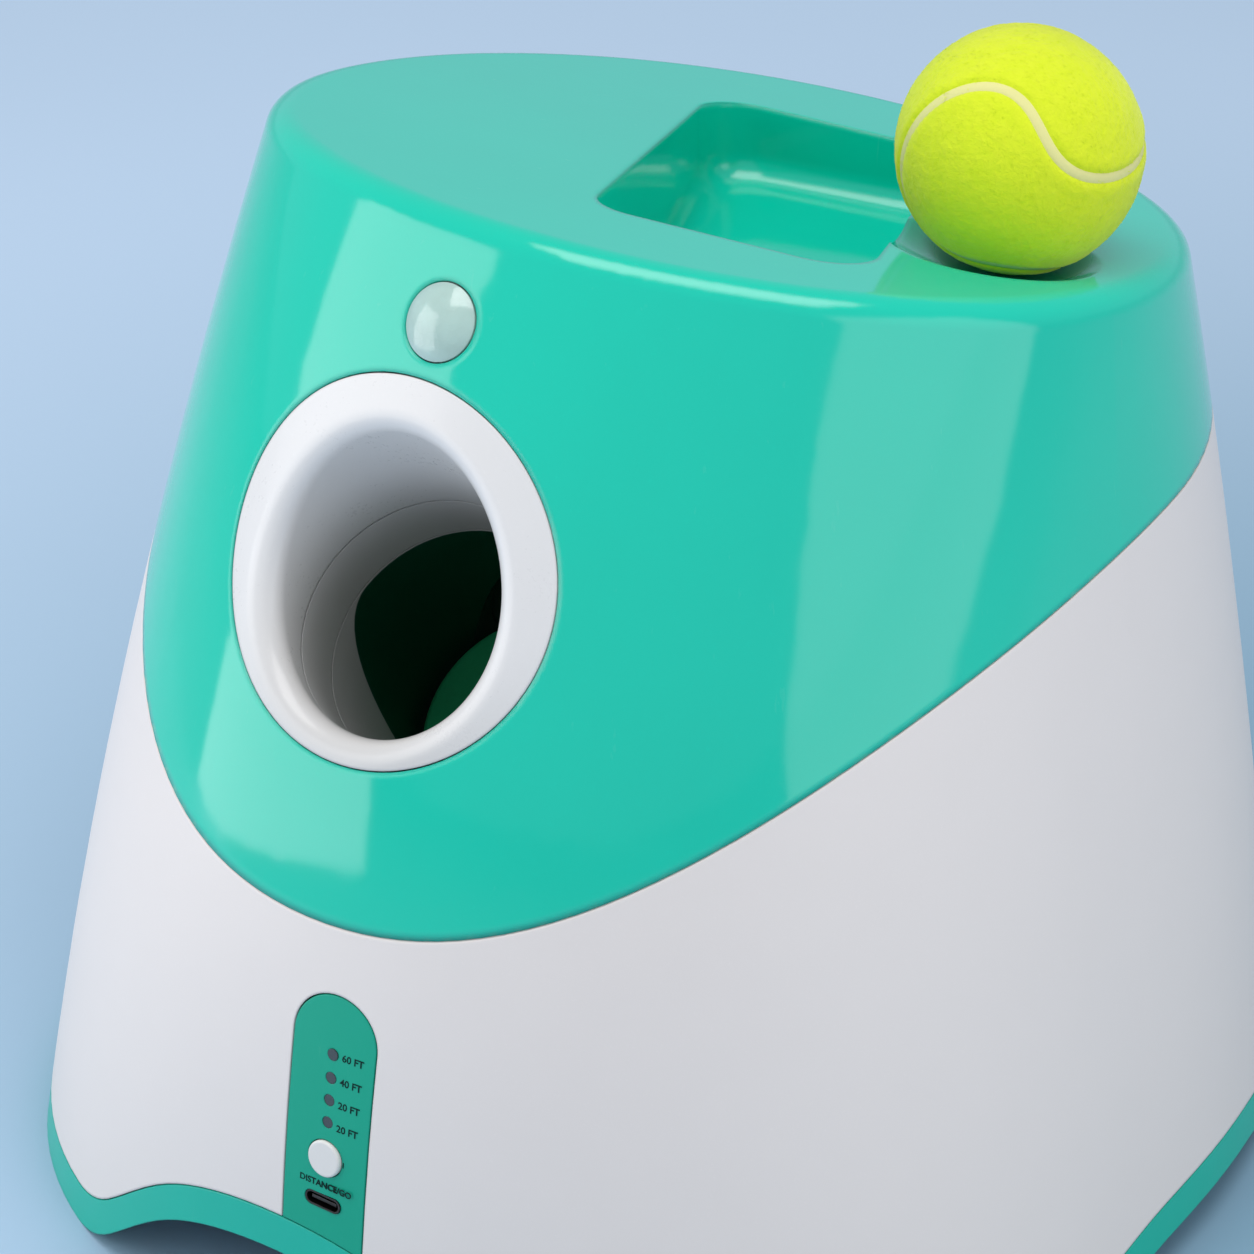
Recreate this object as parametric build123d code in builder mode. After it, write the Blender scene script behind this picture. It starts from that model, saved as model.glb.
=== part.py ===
from build123d import *
import math
import os

# Automatic ball launcher for small dogs. A glossy hood with a feed pocket and a ball dish sits on a
# satin lower housing, over a wavy skirt with four feet. Inside, a motor and gears draw a plunger back
# against a spring, and a sector gear lets it go so that it throws the ball up the barrel.
# Origin: centre of the base on the floor. +Z is up and the muzzle faces -Y. All sizes are in millimetres.

# ---------------------------------------------------------------- sizes: body
station_heights = (0.0, 80.0, 160.0, 240.0)      # heights at which the body outline is given
half_widths = (128.5, 117.9, 105.4, 93.0)        # outline half width at each station
front_edges = (-141.25, -134.85, -114.95, -75.15)    # y of the front of the outline
rear_edges = (144.75, 131.25, 113.05, 83.55)          # y of the rear of the outline
widest_lines = (1.65, -1.85, -1.05, 4.15)      # y at which the outline is widest
front_squareness = (2.45, 2.17, 2.02, 2.0)       # superellipse exponent of the front half
rear_squareness = 2.15
outline_point_count = 24
loft_step = 40.0
loft_top = 280.0

top_height = 220.0                               # top face above the origin
top_slope = 0.208                                # rise of the top face towards the muzzle
rim_radius = 5.5
wall = 3.0
seam_gap = 0.35                                  # visible gap between neighbouring covers

parting_peak = (24.95, 168.0)                     # y and z at which the parting line levels out
parting_front = (-135.65, 100.0)                  # y and z at which it crosses the front

skirt_height = 8.5                               # visible height of the skirt
front_arch_height = 28.0
front_arch_half_span = 68.0
side_arch_height = 8.5
side_arch_half_span = 62.0
side_arch_centre = 24.35

# ---------------------------------------------------------------- sizes: ball, muzzle and barrel
ball_diameter = 50.0
ball_clearance = 1.5                             # radial room for the ball in the bore
launch_angle = 48.0                              # barrel above the horizontal, in degrees
muzzle_height = 172.8
muzzle_ring_radius = 38.7
muzzle_lip_radius = 4.5
ring_gap = 0.3
tube_wall = 2.6
ring_stub_length = 24.0
barrel_length = 38.0                             # from the muzzle face to the launch cylinder
rear_room = 8.0                                  # behind the drawn plunger, for the pressed spring
cylinder_step = 0.4                              # the launch cylinder's wall is thicker than the barrel's
joint_gap = 0.3

# ---------------------------------------------------------------- sizes: feed pocket, dish and chute
pocket_front_left = (4.0, -45.65)
pocket_front_edge = (58.0, 11.0)                 # vector along the front edge of the pocket
pocket_side_edge = (-44.0, 105.0)                # vector along the left edge of the pocket
pocket_corner_radius = 9.0
pocket_floor_back = 191.0                        # floor height at the back of the pocket
pocket_floor_fall = 0.04                         # fall of the floor towards the feed hole
pocket_draft = 2.0
pocket_cove_radius = 6.0
feed_hole_setback = 31.0                         # from the front edge of the pocket to the hole's centre
feed_clearance = 1.5                             # radial room for the ball in the chute
chute_wall = 2.0
switch_distance = 46.0                           # from the pocket's floor to the ball switch, down the chute
chute_slot_size = (8.0, 9.0, 22.0)               # slot for the switch's lever
switch_rest_size = (6.5, 8.0, 5.0)               # block that carries the switch
switch_rest_spot = (31.4, 0.0, -16.0)
chute_meet = 90.0                                # where the chute's axis meets the barrel's axis
dish_centre = (65.3, 15.35)
dish_radius = 46.0
dish_depth = 4.8

# ---------------------------------------------------------------- sizes: plunger, spring and gears
plunger_face = 78.0                              # front of the pad along the axis, at rest
plunger_travel = 40.0
pad_thickness = 4.0
plunger_length = 46.0
plunger_wall = 2.5
plunger_head = 4.0
pad_gap = 1.0                                    # radial room of the pad inside the plunger's edge
pad_edge_radius = 1.5
plunger_clearance = 0.3
spring_wire = 2.4
spring_mean_radius = 17.0
spring_turns = 8
spring_seat_gap = 0.3
guide_rod_radius = 11.0
guide_rod_length = 45.0
cap_thickness = 4.0

sector_module = 1.5
sector_teeth = 24                                # teeth of the full circle that the sector is cut from
sector_first_tooth = -1
sector_last_tooth = 9
sector_width = 8.0
drive_module = 1.0
drive_teeth = 40
drive_width = 5.5
pinion_teeth = 12
wheel_module = 0.8
wheel_teeth = 48
wheel_width = 4.5
motor_pinion_teeth = 12
pressure_angle = 25.0
tooth_backlash = 0.16
gear_gap = 0.5
rack_offset = 33.0                               # pitch line of the rack below the barrel's axis
gear_contact = 126.0                             # where the sector touches the rack, along the axis
reduction_direction = 180.0                      # from the sector's shaft to the reduction shaft
motor_direction = 115.0                          # from the reduction shaft to the motor
sector_shaft_radius = 3.0
reduction_shaft_radius = 2.0
motor_shaft_radius = 1.0
shaft_clearance = 0.05
bush_wall = 1.5
bush_flange = 1.0
plate_thickness = 3.0
plate_margin = 9.0
motor_radius = 12.0
motor_length = 30.0
motor_boss_radius = 4.0
motor_screw_spacing = 16.0
motor_screw_bite = 4.0                           # length of the screws inside the motor
motor_screw_head_radius = 2.4
motor_screw_head_height = 1.4
motor_edge_radius = 2.0
motor_rear_boss = 1.5

# ---------------------------------------------------------------- sizes: control panel and sensor
panel_offset = 9.6                               # centre of the panel to the right of the muzzle
panel_width = 20.0
panel_top = 90.5
panel_flange = 1.6
panel_flange_margin = 3.0
led_heights = (77.8, 72.6, 67.6, 62.6)
led_radius = 1.3
button_height = 54.4
button_radius = 4.0
button_clearance = 0.2
button_proud = 0.6
button_travel = 1.0
button_flange_room = 0.6                         # behind the panel, in front of the button's flange
button_flange_thickness = 0.7
button_flange_width = 1.0
button_edge_radius = 0.5
button_nib_radius = 1.5
button_nib_height = 0.25
button_nib_root = 0.25
switch_play = 0.1                                # between the pressed button and its switch
tact_switch_side = 6.0
usb_height = 44.4
usb_width = 8.9
usb_opening = 3.2
usb_wall = 0.4
usb_depth = 7.0
usb_gap = 0.1
usb_mouth_setback = 0.3                          # mouth of the socket behind the panel's face
usb_tongue = (6.3, 0.7)                          # width and thickness of the tongue inside
usb_tongue_setback = 0.2
part_gap = 0.05                                  # between a part and the board under it
window_gap = 0.05
window_rear = 0.5                                # how far a window stands out behind the panel
window_setback = 0.1                             # its face behind the panel's face
led_lens_radius = 1.0
board_thickness = 1.6
control_board_depth = 9.0                        # from the panel face to the front of the board
control_board_bottom = 42.5
control_board_top = 86.0
control_board_width = 26.0
board_screw_fit = 0.2
board_screw_head = (2.0, 1.2)                    # radius and height
board_screw_length = 5.5
board_post_inset = (6.0, 3.0)                    # from the board's lower and upper edge
board_post_offset = 9.5
sensor_height = 218.3
sensor_radius = 7.8
sensor_dome_rise = 2.6
sensor_flange_radius = 10.0
sensor_can_radius = 4.6
sensor_can_height = 3.6
sensor_can_edge = 0.4
sensor_can_rim = (0.7, 0.6)                      # width and height of the can's rim
lens_wall = 1.2
sensor_board_height = 15.0
sensor_board_margin = 2.5

# ---------------------------------------------------------------- sizes: base and its contents
base_height = 9.0                                # underside of the base plate
base_thickness = 3.0
base_step_front = -114.65
base_step_rear = 116.35
base_fit_gap = 0.4
foot_angles = (-47, 227, 42, 138)
foot_inset = 15.5
foot_block_radius = 15.0
foot_pad_radius = 10.0
foot_pad_height = 3.0
foot_pad_gap = 0.1
foot_pad_edge = 0.8
foot_recess = 1.8
boss_radius = 4.5
screw_radius = 1.5
thread_clearance = 0.03                          # pilots are drawn at the thread's outer size
screw_head_radius = 3.0
screw_head_height = 2.0
screw_fit = 0.2
cross_slot_length = 3.2
cross_slot_width = 0.7
cross_slot_depth = 0.9
battery_size = (70.0, 38.0, 20.0)
battery_centre = (0.0, 80.35)
battery_door_margin = 5.0
battery_door_thickness = 2.0
main_board_size = (60.0, 78.0)
main_board_centre = (-72.0, 14.35)
standoff_height = 6.0
speaker_radius = 20.0
speaker_height = 9.0
speaker_rim_height = 2.0
speaker_basket_radius = 16.0
speaker_basket_height = 3.0
speaker_basket_taper = 30
speaker_magnet_radius = 10.0
speaker_gap = 0.1                                # between the speaker and the base plate
grille_hole_radius = 1.5
grille_rings = ((12.0, 10), (6.0, 5))            # radius and number of holes in each ring
speaker_centre = (78.0, 44.35)
cradle_width = 44.0
cradle_gap = 16.0                                # room between the cradle's cheeks for the rack
cradle_y = -25.15
cradle_cheek_height = 27.5
cradle_depth = 10.0
cradle_foot_thickness = 3.0
rib_length = 38.0
rib_height = 11.0
rib_root = 0.5                                   # overlap of a rib with the plate under it
shelf_lift = 1.5                                 # base plate's raised ends above the arch
left_plate_x = -20.0                             # outer face of the left gearbox plate
right_plate_x = 6.0                              # inner face of the right gearbox plate

# ---------------------------------------------------------------- sizes: fastenings and small parts
boss_angles = (-32, 212, 48, 132)
hood_boss_inset = 7.0
hood_boss_height = 12.0
tab_thickness = 6.0
tab_radius = 6.5
hood_boss_cap = 2.0                              # solid end of a hood boss, above its pilot
sensor_post_offset = 12.5
sensor_post_radius = 2.2
sensor_board_depth = 11.0
sensor_screw_length = 6.0
feed_collar_wall = 2.0
feed_collar_length = 5.0
sensor_board_room = 0.05                         # play between the sensor's parts and its board
post_length = 30.0
post_rib_thickness = 2.0
plate_foot_radius = 5.0
base_screw_length = 16.0
hood_screw_length = 14.0
standoff_radius = 3.0
standoff_inset = 4.0                             # from the board's edges to its screws
board_blocks = (((12, 12, 1.6), (0, 4)), ((16, 12, 14), (-14, -24)), ((8, 20, 8), (22, 18)))
capacitor_places = ((14, -24), (14, -15), (14, -6))
capacitor_radius = 3.2
capacitor_height = 11.0
flange_width = 6.5
flange_thickness = 3.0
barrel_screw_angles = (-90, 30, 150)
cap_screw_turn = 120                             # from the barrel's screws to the cap's
cap_screw_bite = 2.5
slot_lead = 3.0                                  # the rack's slot starts this far before the rack
slot_side_gap = 0.6
lug_thickness = 5.0
lug_positions = (106.0, 146.0)
lug_drop = 34.0
lug_size = 10.0
gear_hub_radius = 5.5
board_post_radius = 2.0
board_screw_radius = 1.0
switch_size = (9.0, 7.6, 14.0)
switch_spot = (39.3, 0.0, -13.0)
switch_ear_size = (3.6, 0.65, 4.0)
switch_ear_offset = 3.475
pivot_spot = (33.0, 0.0, -8.0)
tip_spot = (23.5, 0.0, 11.0)
pin_radius = 0.8
pin_length = 7.6
blade_size = (5.0, 0.8)
blade_eye_radius = 1.2
blade_eye_length = 6.0
ball_lift = 0.2

# ---------------------------------------------------------------- worked-out values
boss_hole_radius = screw_radius + thread_clearance
bore_radius = ball_diameter / 2 + ball_clearance
tube_radius = bore_radius + tube_wall
feed_radius = ball_diameter / 2 + feed_clearance
plunger_start = plunger_face + pad_thickness
plunger_end = plunger_start + plunger_length
cylinder_end = plunger_end + plunger_travel + rear_room
cylinder_radius = tube_radius + cylinder_step
hole_radius = screw_radius + screw_fit
far = 400.0                                      # reaches past the body in every direction
reach = 40.0                                     # reaches through any one wall
run_out = 1.0                                    # cutters run this far past a face


def at_height(values, height):
    """Value at a height, from the cubic through the four body stations."""
    total = 0.0
    for i, station in enumerate(station_heights):
        weight = 1.0
        for j, other in enumerate(station_heights):
            if i != j:
                weight *= (height - other) / (station - other)
        total += values[i] * weight
    return total


def outline_points(height, inset):
    """Points of the body outline at a height, moved in by an inset."""
    centre = at_height(widest_lines, height)
    width = at_height(half_widths, height) - inset
    points = []
    for index in range(outline_point_count):
        angle = 2 * math.pi * index / outline_point_count
        cosine, sine = math.cos(angle), math.sin(angle)
        if sine < 0:
            reach = centre - at_height(front_edges, height) - inset
            power = at_height(front_squareness, height)
        else:
            reach = at_height(rear_edges, height) - centre - inset
            power = rear_squareness
        scale = (abs(cosine) ** power + abs(sine) ** power) ** (-1 / power)
        points.append((width * scale * cosine, centre + reach * scale * sine))
    return points


def front_y(x, height):
    """y of the front surface of the body."""
    centre = at_height(widest_lines, height)
    power = at_height(front_squareness, height)
    share = abs(x) / at_height(half_widths, height)
    return centre + (at_height(front_edges, height) - centre) * (1 - share ** power) ** (1 / power)


def front_lean(x, height):
    """Angle in degrees by which the front surface leans back from the vertical."""
    step = 1.0
    return math.degrees(math.atan((front_y(x, height + step) - front_y(x, height - step)) / (2 * step)))


def top_z(y):
    """Height of the top face."""
    return top_height - top_slope * y


def top_plane(inset=0.0):
    """Plane of the top face, lowered by an inset. Its local x axis is the body's +X."""
    normal = Vector(0, top_slope, 1).normalized()
    return Plane(origin=Vector(0, 0, top_height) - normal * inset, x_dir=(1, 0, 0), z_dir=normal)


def body_solid(inset):
    """The body as one solid, moved in by an inset on its sides and its top."""
    with BuildPart() as solid:
        for level in range(int(loft_top / loft_step) + 1):
            with BuildSketch(Plane.XY.offset(level * loft_step)):
                with BuildLine():
                    Spline(*outline_points(level * loft_step, inset), periodic=True)
                make_face()
        loft()
        split(bisect_by=top_plane(inset), keep=Keep.BOTTOM)
        fillet(solid.faces().sort_by(Axis.Z)[-1].edges(), max(rim_radius - inset, 0.8))
    return solid.part


# Barrel frame: local z runs into the body along the barrel, local y points down and forward.
launch = math.radians(launch_angle)
muzzle_centre = Vector(0, front_y(0, muzzle_height), muzzle_height)
barrel_direction = Vector(0, math.cos(launch), -math.sin(launch))
below_barrel = Vector(0, -math.sin(launch), -math.cos(launch))


def barrel_plane(distance):
    """Plane across the barrel, at a distance from the muzzle face."""
    return Plane(origin=muzzle_centre + barrel_direction * distance, x_dir=(1, 0, 0), z_dir=barrel_direction)


def surface_plane(x, height):
    """Plane on the front surface, facing out along -Y as far as the surface leans."""
    lean = math.radians(front_lean(x, height))
    outwards = Vector(0, -math.cos(lean), math.sin(lean))
    return Plane(origin=(x, front_y(x, height), height), x_dir=(1, 0, 0), z_dir=outwards)


def side_plane(x, centre):
    """Plane that faces +X, whose local axes are the body's +Y and +Z."""
    return Plane(origin=(x, centre.Y, centre.Z), x_dir=(0, 1, 0), z_dir=(1, 0, 0))


def parting_region(lift):
    """Solid above the parting line, raised by a lift."""
    with BuildPart() as region:
        with BuildSketch(Plane.YZ):
            with BuildLine():
                front = (parting_front[0], parting_front[1] + lift)
                peak = (parting_peak[0], parting_peak[1] + lift)
                slope = 2 * (peak[1] - front[1]) / (peak[0] - front[0])
                start = (-far, front[1] - slope * (far + front[0]))
                Line((far, peak[1]), peak)
                Bezier(peak, ((front[0] + peak[0]) / 2, peak[1]), front)
                Line(front, start)
                Polyline(start, (-far, far), (far, far), (far, peak[1]))
            make_face()
        extrude(amount=far, both=True)
    return region.part


def arch_outline(height, half_span, centre, lift):
    """Face below an arch between two feet, raised by a lift."""
    shoulders = ((0.765, 0.235), (0.5, 0.715))
    left = [(centre - half_span * s, height * h + lift) for s, h in shoulders]
    right = [(centre + half_span * s, height * h + lift) for s, h in reversed(shoulders)]
    with BuildSketch() as outline:
        with BuildLine():
            start = (centre - half_span, lift)
            end = (centre + half_span, lift)
            Spline(start, *left, (centre, height + lift), *right, end, tangents=((1, 0), (1, 0)))
            Polyline(end, (centre + half_span, -far), (centre - half_span, -far), start)
        make_face()
    return outline.sketch


def below_arches(lift):
    """Solid below the wavy line of the skirt, raised by a lift."""
    with BuildPart() as region:
        with BuildSketch(Plane.XZ):
            add(arch_outline(front_arch_height, front_arch_half_span, 0, lift))
        extrude(amount=far, both=True)
        with BuildSketch(Plane.YZ):
            add(arch_outline(side_arch_height, side_arch_half_span, side_arch_centre, lift))
        extrude(amount=far, both=True)
        if lift > 0:
            with BuildSketch(Plane.XY.offset(-far)):
                Rectangle(2 * far, 2 * far)
            extrude(amount=far + lift)
    return region.part


def gear_outline(module, teeth, tooth_angle, tooth_numbers=None):
    """Toothed outline as a sketch. tooth_angle is the direction of tooth 0, in degrees."""
    pitch = module * teeth / 2
    base = pitch * math.cos(math.radians(pressure_angle))
    root = pitch - 1.25 * module
    tip = pitch + module
    involute_at_pitch = math.tan(math.radians(pressure_angle)) - math.radians(pressure_angle)
    half_tooth = math.pi / (2 * teeth) - tooth_backlash / (2 * pitch)
    flank = []
    for step in range(5):
        radius = max(base, root) + (tip - max(base, root)) * step / 4
        pressure = math.acos(min(base / radius, 1.0))
        flank.append((radius, half_tooth + involute_at_pitch - math.tan(pressure) + pressure))
    flank.insert(0, (root - 0.3 * module, flank[0][1]))
    with BuildSketch() as outline:
        Circle(root)
        for number in tooth_numbers or range(teeth):
            middle = math.radians(tooth_angle) + 2 * math.pi * number / teeth
            corners = [(r * math.cos(middle - a), r * math.sin(middle - a)) for r, a in flank]
            corners += [(r * math.cos(middle + a), r * math.sin(middle + a)) for r, a in reversed(flank)]
            with BuildLine():
                Polyline(*corners, close=True)
            make_face()
    return outline.sketch


def save(part, name):
    """Label a piece and write it to its own file."""
    part.label = name
    export_step(part, f"parts/{name}.step")


os.makedirs("parts", exist_ok=True)

# ---------------------------------------------------------------- body solids that the covers share
outer = body_solid(0)
cavity = body_solid(wall)
above_parting = parting_region(0)


def outline_point(angle, height, inset):
    """Point at an angle on the body outline, as (x, y)."""
    points = outline_points(height, inset)
    place = (angle % 360) / 360 * outline_point_count
    index = int(place)
    share = place - index
    first = points[index % outline_point_count]
    second = points[(index + 1) % outline_point_count]
    return (first[0] + (second[0] - first[0]) * share, first[1] + (second[1] - first[1]) * share)


foot_positions = [outline_point(angle, 0, foot_inset) for angle in foot_angles]

# ---------------------------------------------------------------- feed pocket, dish and chute places
front_left = Vector(*pocket_front_left)
front_edge = Vector(*pocket_front_edge)
side_edge = Vector(*pocket_side_edge)
front_right = front_left + front_edge
pocket_corners = (front_left, front_right, front_right + side_edge, front_left + side_edge)
feed_centre = front_left + front_edge * 0.5 + side_edge.normalized() * feed_hole_setback


def floor_z(y):
    """Height of the pocket's floor."""
    return pocket_floor_back - pocket_floor_fall * (pocket_corners[2].Y - y)


floor_normal = Vector(0, -pocket_floor_fall, 1).normalized()
floor_point = Vector(0, 0, floor_z(0))
chute_top = Vector(feed_centre.X, feed_centre.Y, floor_z(feed_centre.Y))
chute_foot = muzzle_centre + barrel_direction * chute_meet
chute_direction = (chute_foot - chute_top).normalized()


def chute_plane(distance):
    """Plane across the chute, at a distance below the pocket's floor. Local x points towards +X."""
    across = Vector(0, 1, 0).cross(chute_direction).normalized()
    return Plane(origin=chute_top + chute_direction * distance, x_dir=across * -1, z_dir=chute_direction)


def pocket_solid(growth):
    """Hollow of the feed pocket, or its tub when grown by a wall."""
    low = pocket_floor_back - 30
    with BuildPart() as solid:
        with BuildSketch(Plane.XY.offset(low)) as plan:
            Polygon(*[(c.X, c.Y) for c in pocket_corners], align=None)
            offset(amount=growth - pocket_draft, kind=Kind.INTERSECTION)
            fillet(plan.vertices(), pocket_corner_radius + growth)
        extrude(amount=loft_top - low, taper=-pocket_draft)
        split(bisect_by=Plane(origin=floor_point - floor_normal * growth, z_dir=floor_normal), keep=Keep.TOP)
        fillet(solid.faces().sort_by(Axis.Z)[0].edges(), pocket_cove_radius + growth)
    return solid.part


def tube(plane, length, outside, inside):
    """Straight tube that starts on a plane."""
    with BuildPart() as solid:
        with BuildSketch(plane):
            Circle(outside)
            Circle(inside, mode=Mode.SUBTRACT)
        extrude(amount=length)
    return solid.part


def cut(solid):
    """Take a solid away from the part being built."""
    add(solid, mode=Mode.SUBTRACT)


def rod(plane, length, radius):
    """Straight rod that starts on a plane."""
    with BuildPart() as solid:
        with BuildSketch(plane):
            Circle(radius)
        extrude(amount=length)
    return solid.part


def upright(x, y, height):
    """Level plane at a point, facing up."""
    return Plane(origin=(x, y, height), x_dir=(1, 0, 0), z_dir=(0, 0, 1))


def block(plane, size, centre=(0, 0, 0)):
    """Box of a size, centred in a plane's own frame."""
    with BuildPart() as solid:
        with BuildSketch(plane.offset(centre[2] - size[2] / 2)):
            with Locations((centre[0], centre[1])):
                Rectangle(size[0], size[1])
        extrude(amount=size[2])
    return solid.part


dish_bottom = Vector(dish_centre[0], dish_centre[1], top_z(dish_centre[1]) - dish_depth)
dish_sphere_centre = dish_bottom + Vector(0, 0, dish_radius)


def sphere_at(centre, radius):
    """Sphere around a point."""
    with BuildPart() as ball:
        with Locations(centre):
            Sphere(radius)
    return ball.part


def feed_hole_solid():
    """Hole for the ball, from the rounded foot of the pocket's walls down through its floor."""
    with BuildPart() as hole:
        add(rod(chute_plane(-reach / 2), 1.5 * reach, feed_radius))
        split(bisect_by=Plane(origin=floor_point + floor_normal * pocket_cove_radius, z_dir=floor_normal),
              keep=Keep.BOTTOM)
    return hole.part


feed_hole = feed_hole_solid()
pocket_hollow = pocket_solid(0)
pocket_tub = pocket_solid(wall)

# ---------------------------------------------------------------- hood
hood_plane = surface_plane(0, muzzle_height)
sensor_plane = surface_plane(0, sensor_height)


def parting_z(y):
    """Height of the parting line."""
    share = min((y - parting_peak[0]) / (parting_front[0] - parting_peak[0]), 1.0)
    return parting_peak[1] - (parting_peak[1] - parting_front[1]) * max(share, 0.0) ** 2


def boss_point(angle):
    """Place of a hood screw where its axis meets the parting line."""
    height = parting_peak[1]
    for _ in range(4):
        x, y = outline_point(angle, height, hood_boss_inset)
        height = parting_z(y)
    return Vector(x, y, height)


def tab_plane(point):
    """Level plane at the underside of a hood screw's tab."""
    return upright(point.X, point.Y, point.Z - tab_thickness)


hood_screw_points = [boss_point(angle) for angle in boss_angles]
collar_radius = feed_radius + chute_wall + joint_gap + feed_collar_wall


def sensor_post_plane(side, depth):
    """Plane across a post of the sensor board, at a depth below the hood's surface, facing out."""
    plane = sensor_plane.offset(-depth)
    return Plane(origin=plane.from_local_coords((side * sensor_post_offset, 0, 0)),
                 x_dir=plane.x_dir, z_dir=plane.z_dir)


with BuildPart() as hood_hollow:
    add(cavity)
    cut(pocket_tub)
    cut(sphere_at(dish_sphere_centre, dish_radius + wall))
    cut(rod(chute_plane(-1), feed_collar_length + wall + 1, collar_radius))
    for point in hood_screw_points:
        cut(rod(tab_plane(point), hood_boss_height + tab_thickness, boss_radius))
    for side in (-1, 1):
        cut(rod(sensor_post_plane(side, sensor_board_depth), sensor_board_depth, sensor_post_radius))

with BuildPart() as hood:
    add(outer)
    add(above_parting, mode=Mode.INTERSECT)
    cut(hood_hollow.part)
    cut(pocket_hollow)
    cut(sphere_at(dish_sphere_centre, dish_radius))
    cut(feed_hole)
    cut(rod(chute_plane(wall + joint_gap), reach, feed_radius + chute_wall + joint_gap))
    for point in hood_screw_points:
        cut(rod(tab_plane(point), hood_boss_height + tab_thickness - hood_boss_cap, boss_hole_radius))
    for side in (-1, 1):
        cut(rod(sensor_post_plane(side, sensor_board_depth), sensor_screw_length, boss_hole_radius))
    cut(rod(hood_plane.offset(-reach / 4), reach, muzzle_ring_radius + ring_gap))
    cut(rod(sensor_plane.offset(-reach / 8), reach / 2, sensor_radius + joint_gap))
save(hood.part, "hood")

# ---------------------------------------------------------------- lower housing
panel_middle = panel_top - panel_width / 2


def panel_outline(growth):
    """Outline of the control panel in the XZ plane: a strip with a round top."""
    with BuildSketch() as outline:
        with Locations((panel_offset, panel_middle)):
            Circle(panel_width / 2 + growth)
        with Locations((panel_offset, panel_middle / 2)):
            Rectangle(panel_width + 2 * growth, panel_middle)
    return outline.sketch


def panel_prism(growth):
    """The panel's outline run through the front of the body."""
    with BuildPart() as prism:
        with BuildSketch(Plane.XZ.offset(2.5 * reach)):
            add(panel_outline(growth))
        extrude(amount=2.5 * reach)
    return prism.part


def screw_at(plane, length):
    """Screw whose head stands on the plane and whose shank runs along the plane's normal."""
    with BuildPart() as screw:
        with BuildSketch(plane):
            Circle(screw_radius)
        extrude(amount=length)
        with BuildSketch(plane):
            Circle(screw_head_radius)
        extrude(amount=-screw_head_height)
        with BuildSketch(plane.offset(-screw_head_height)):
            Rectangle(cross_slot_length, cross_slot_width)
            Rectangle(cross_slot_width, cross_slot_length)
        extrude(amount=cross_slot_depth, mode=Mode.SUBTRACT)
    return screw.part


post_bottom = base_height + base_thickness + joint_gap
with BuildPart() as housing_hollow:
    add(cavity)
    for x, y in foot_positions:
        cut(rod(upright(x, y, post_bottom), post_length, boss_radius))
        rib_plane = Plane(origin=(x, y, post_bottom + post_length / 2), x_dir=(x, y, 0), z_dir=(0, 0, 1))
        cut(block(rib_plane, (1.25 * reach, post_rib_thickness, post_length - 6), (0.625 * reach, 0, 0)))
    for point in hood_screw_points:
        cut(rod(tab_plane(point), 2 * tab_thickness, tab_radius))

with BuildPart() as lower_housing:
    add(outer)
    cut(parting_region(-seam_gap))
    cut(below_arches(skirt_height + seam_gap))
    cut(housing_hollow.part)
    for x, y in foot_positions:
        cut(rod(upright(x, y, post_bottom), post_length - 2, boss_hole_radius))
    for point in hood_screw_points:
        cut(rod(upright(point.X, point.Y, point.Z - 2 * tab_thickness), 4 * tab_thickness, hole_radius))
    cut(panel_prism(seam_gap / 2))
save(lower_housing.part, "lower_housing")

# ---------------------------------------------------------------- skirt, base plate and feet
base_inset = wall + base_fit_gap
shelf_height = front_arch_height + skirt_height + shelf_lift
shelf_top = shelf_height + base_thickness
foot_top = base_height - joint_gap
foot_bottom = foot_pad_height - foot_recess
head_recess = foot_pad_height + joint_gap + screw_head_height + foot_pad_gap

with BuildPart() as skirt_hollow:
    add(cavity)
    for x, y in foot_positions:
        cut(rod(upright(x, y, foot_bottom), foot_top - foot_bottom, foot_block_radius))

with BuildPart() as skirt:
    add(outer)
    add(below_arches(skirt_height), mode=Mode.INTERSECT)
    cut(below_arches(0))
    cut(skirt_hollow.part)
    for x, y in foot_positions:
        cut(rod(upright(x, y, -run_out), foot_pad_height + run_out, foot_pad_radius + foot_pad_gap))
        cut(rod(upright(x, y, -run_out), run_out + head_recess, screw_head_radius + screw_fit))
        cut(rod(upright(x, y, -run_out), foot_top + 2 * run_out, hole_radius))
save(skirt.part, "skirt")

with BuildPart() as rubber_feet:
    for x, y in foot_positions:
        with BuildSketch(upright(x, y, 0)):
            Circle(foot_pad_radius)
        extrude(amount=foot_pad_height)
    fillet(rubber_feet.edges().group_by(Axis.Z)[0], foot_pad_edge)
save(rubber_feet.part, "rubber_feet")

# ---------------------------------------------------------------- places of the gear shafts
sector_pitch_radius = sector_module * sector_teeth / 2
drive_radius = drive_module * drive_teeth / 2
pinion_radius = drive_module * pinion_teeth / 2
wheel_radius = wheel_module * wheel_teeth / 2
motor_pinion_radius = wheel_module * motor_pinion_teeth / 2
contact_direction = 90 - launch_angle            # from the sector's shaft up to the rack, from +Y


def swing(centre, direction, distance):
    """Point at a distance from a centre in the YZ plane, in a direction from +Y towards +Z."""
    turn = math.radians(direction)
    return centre + Vector(0, distance * math.cos(turn), distance * math.sin(turn))


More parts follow.
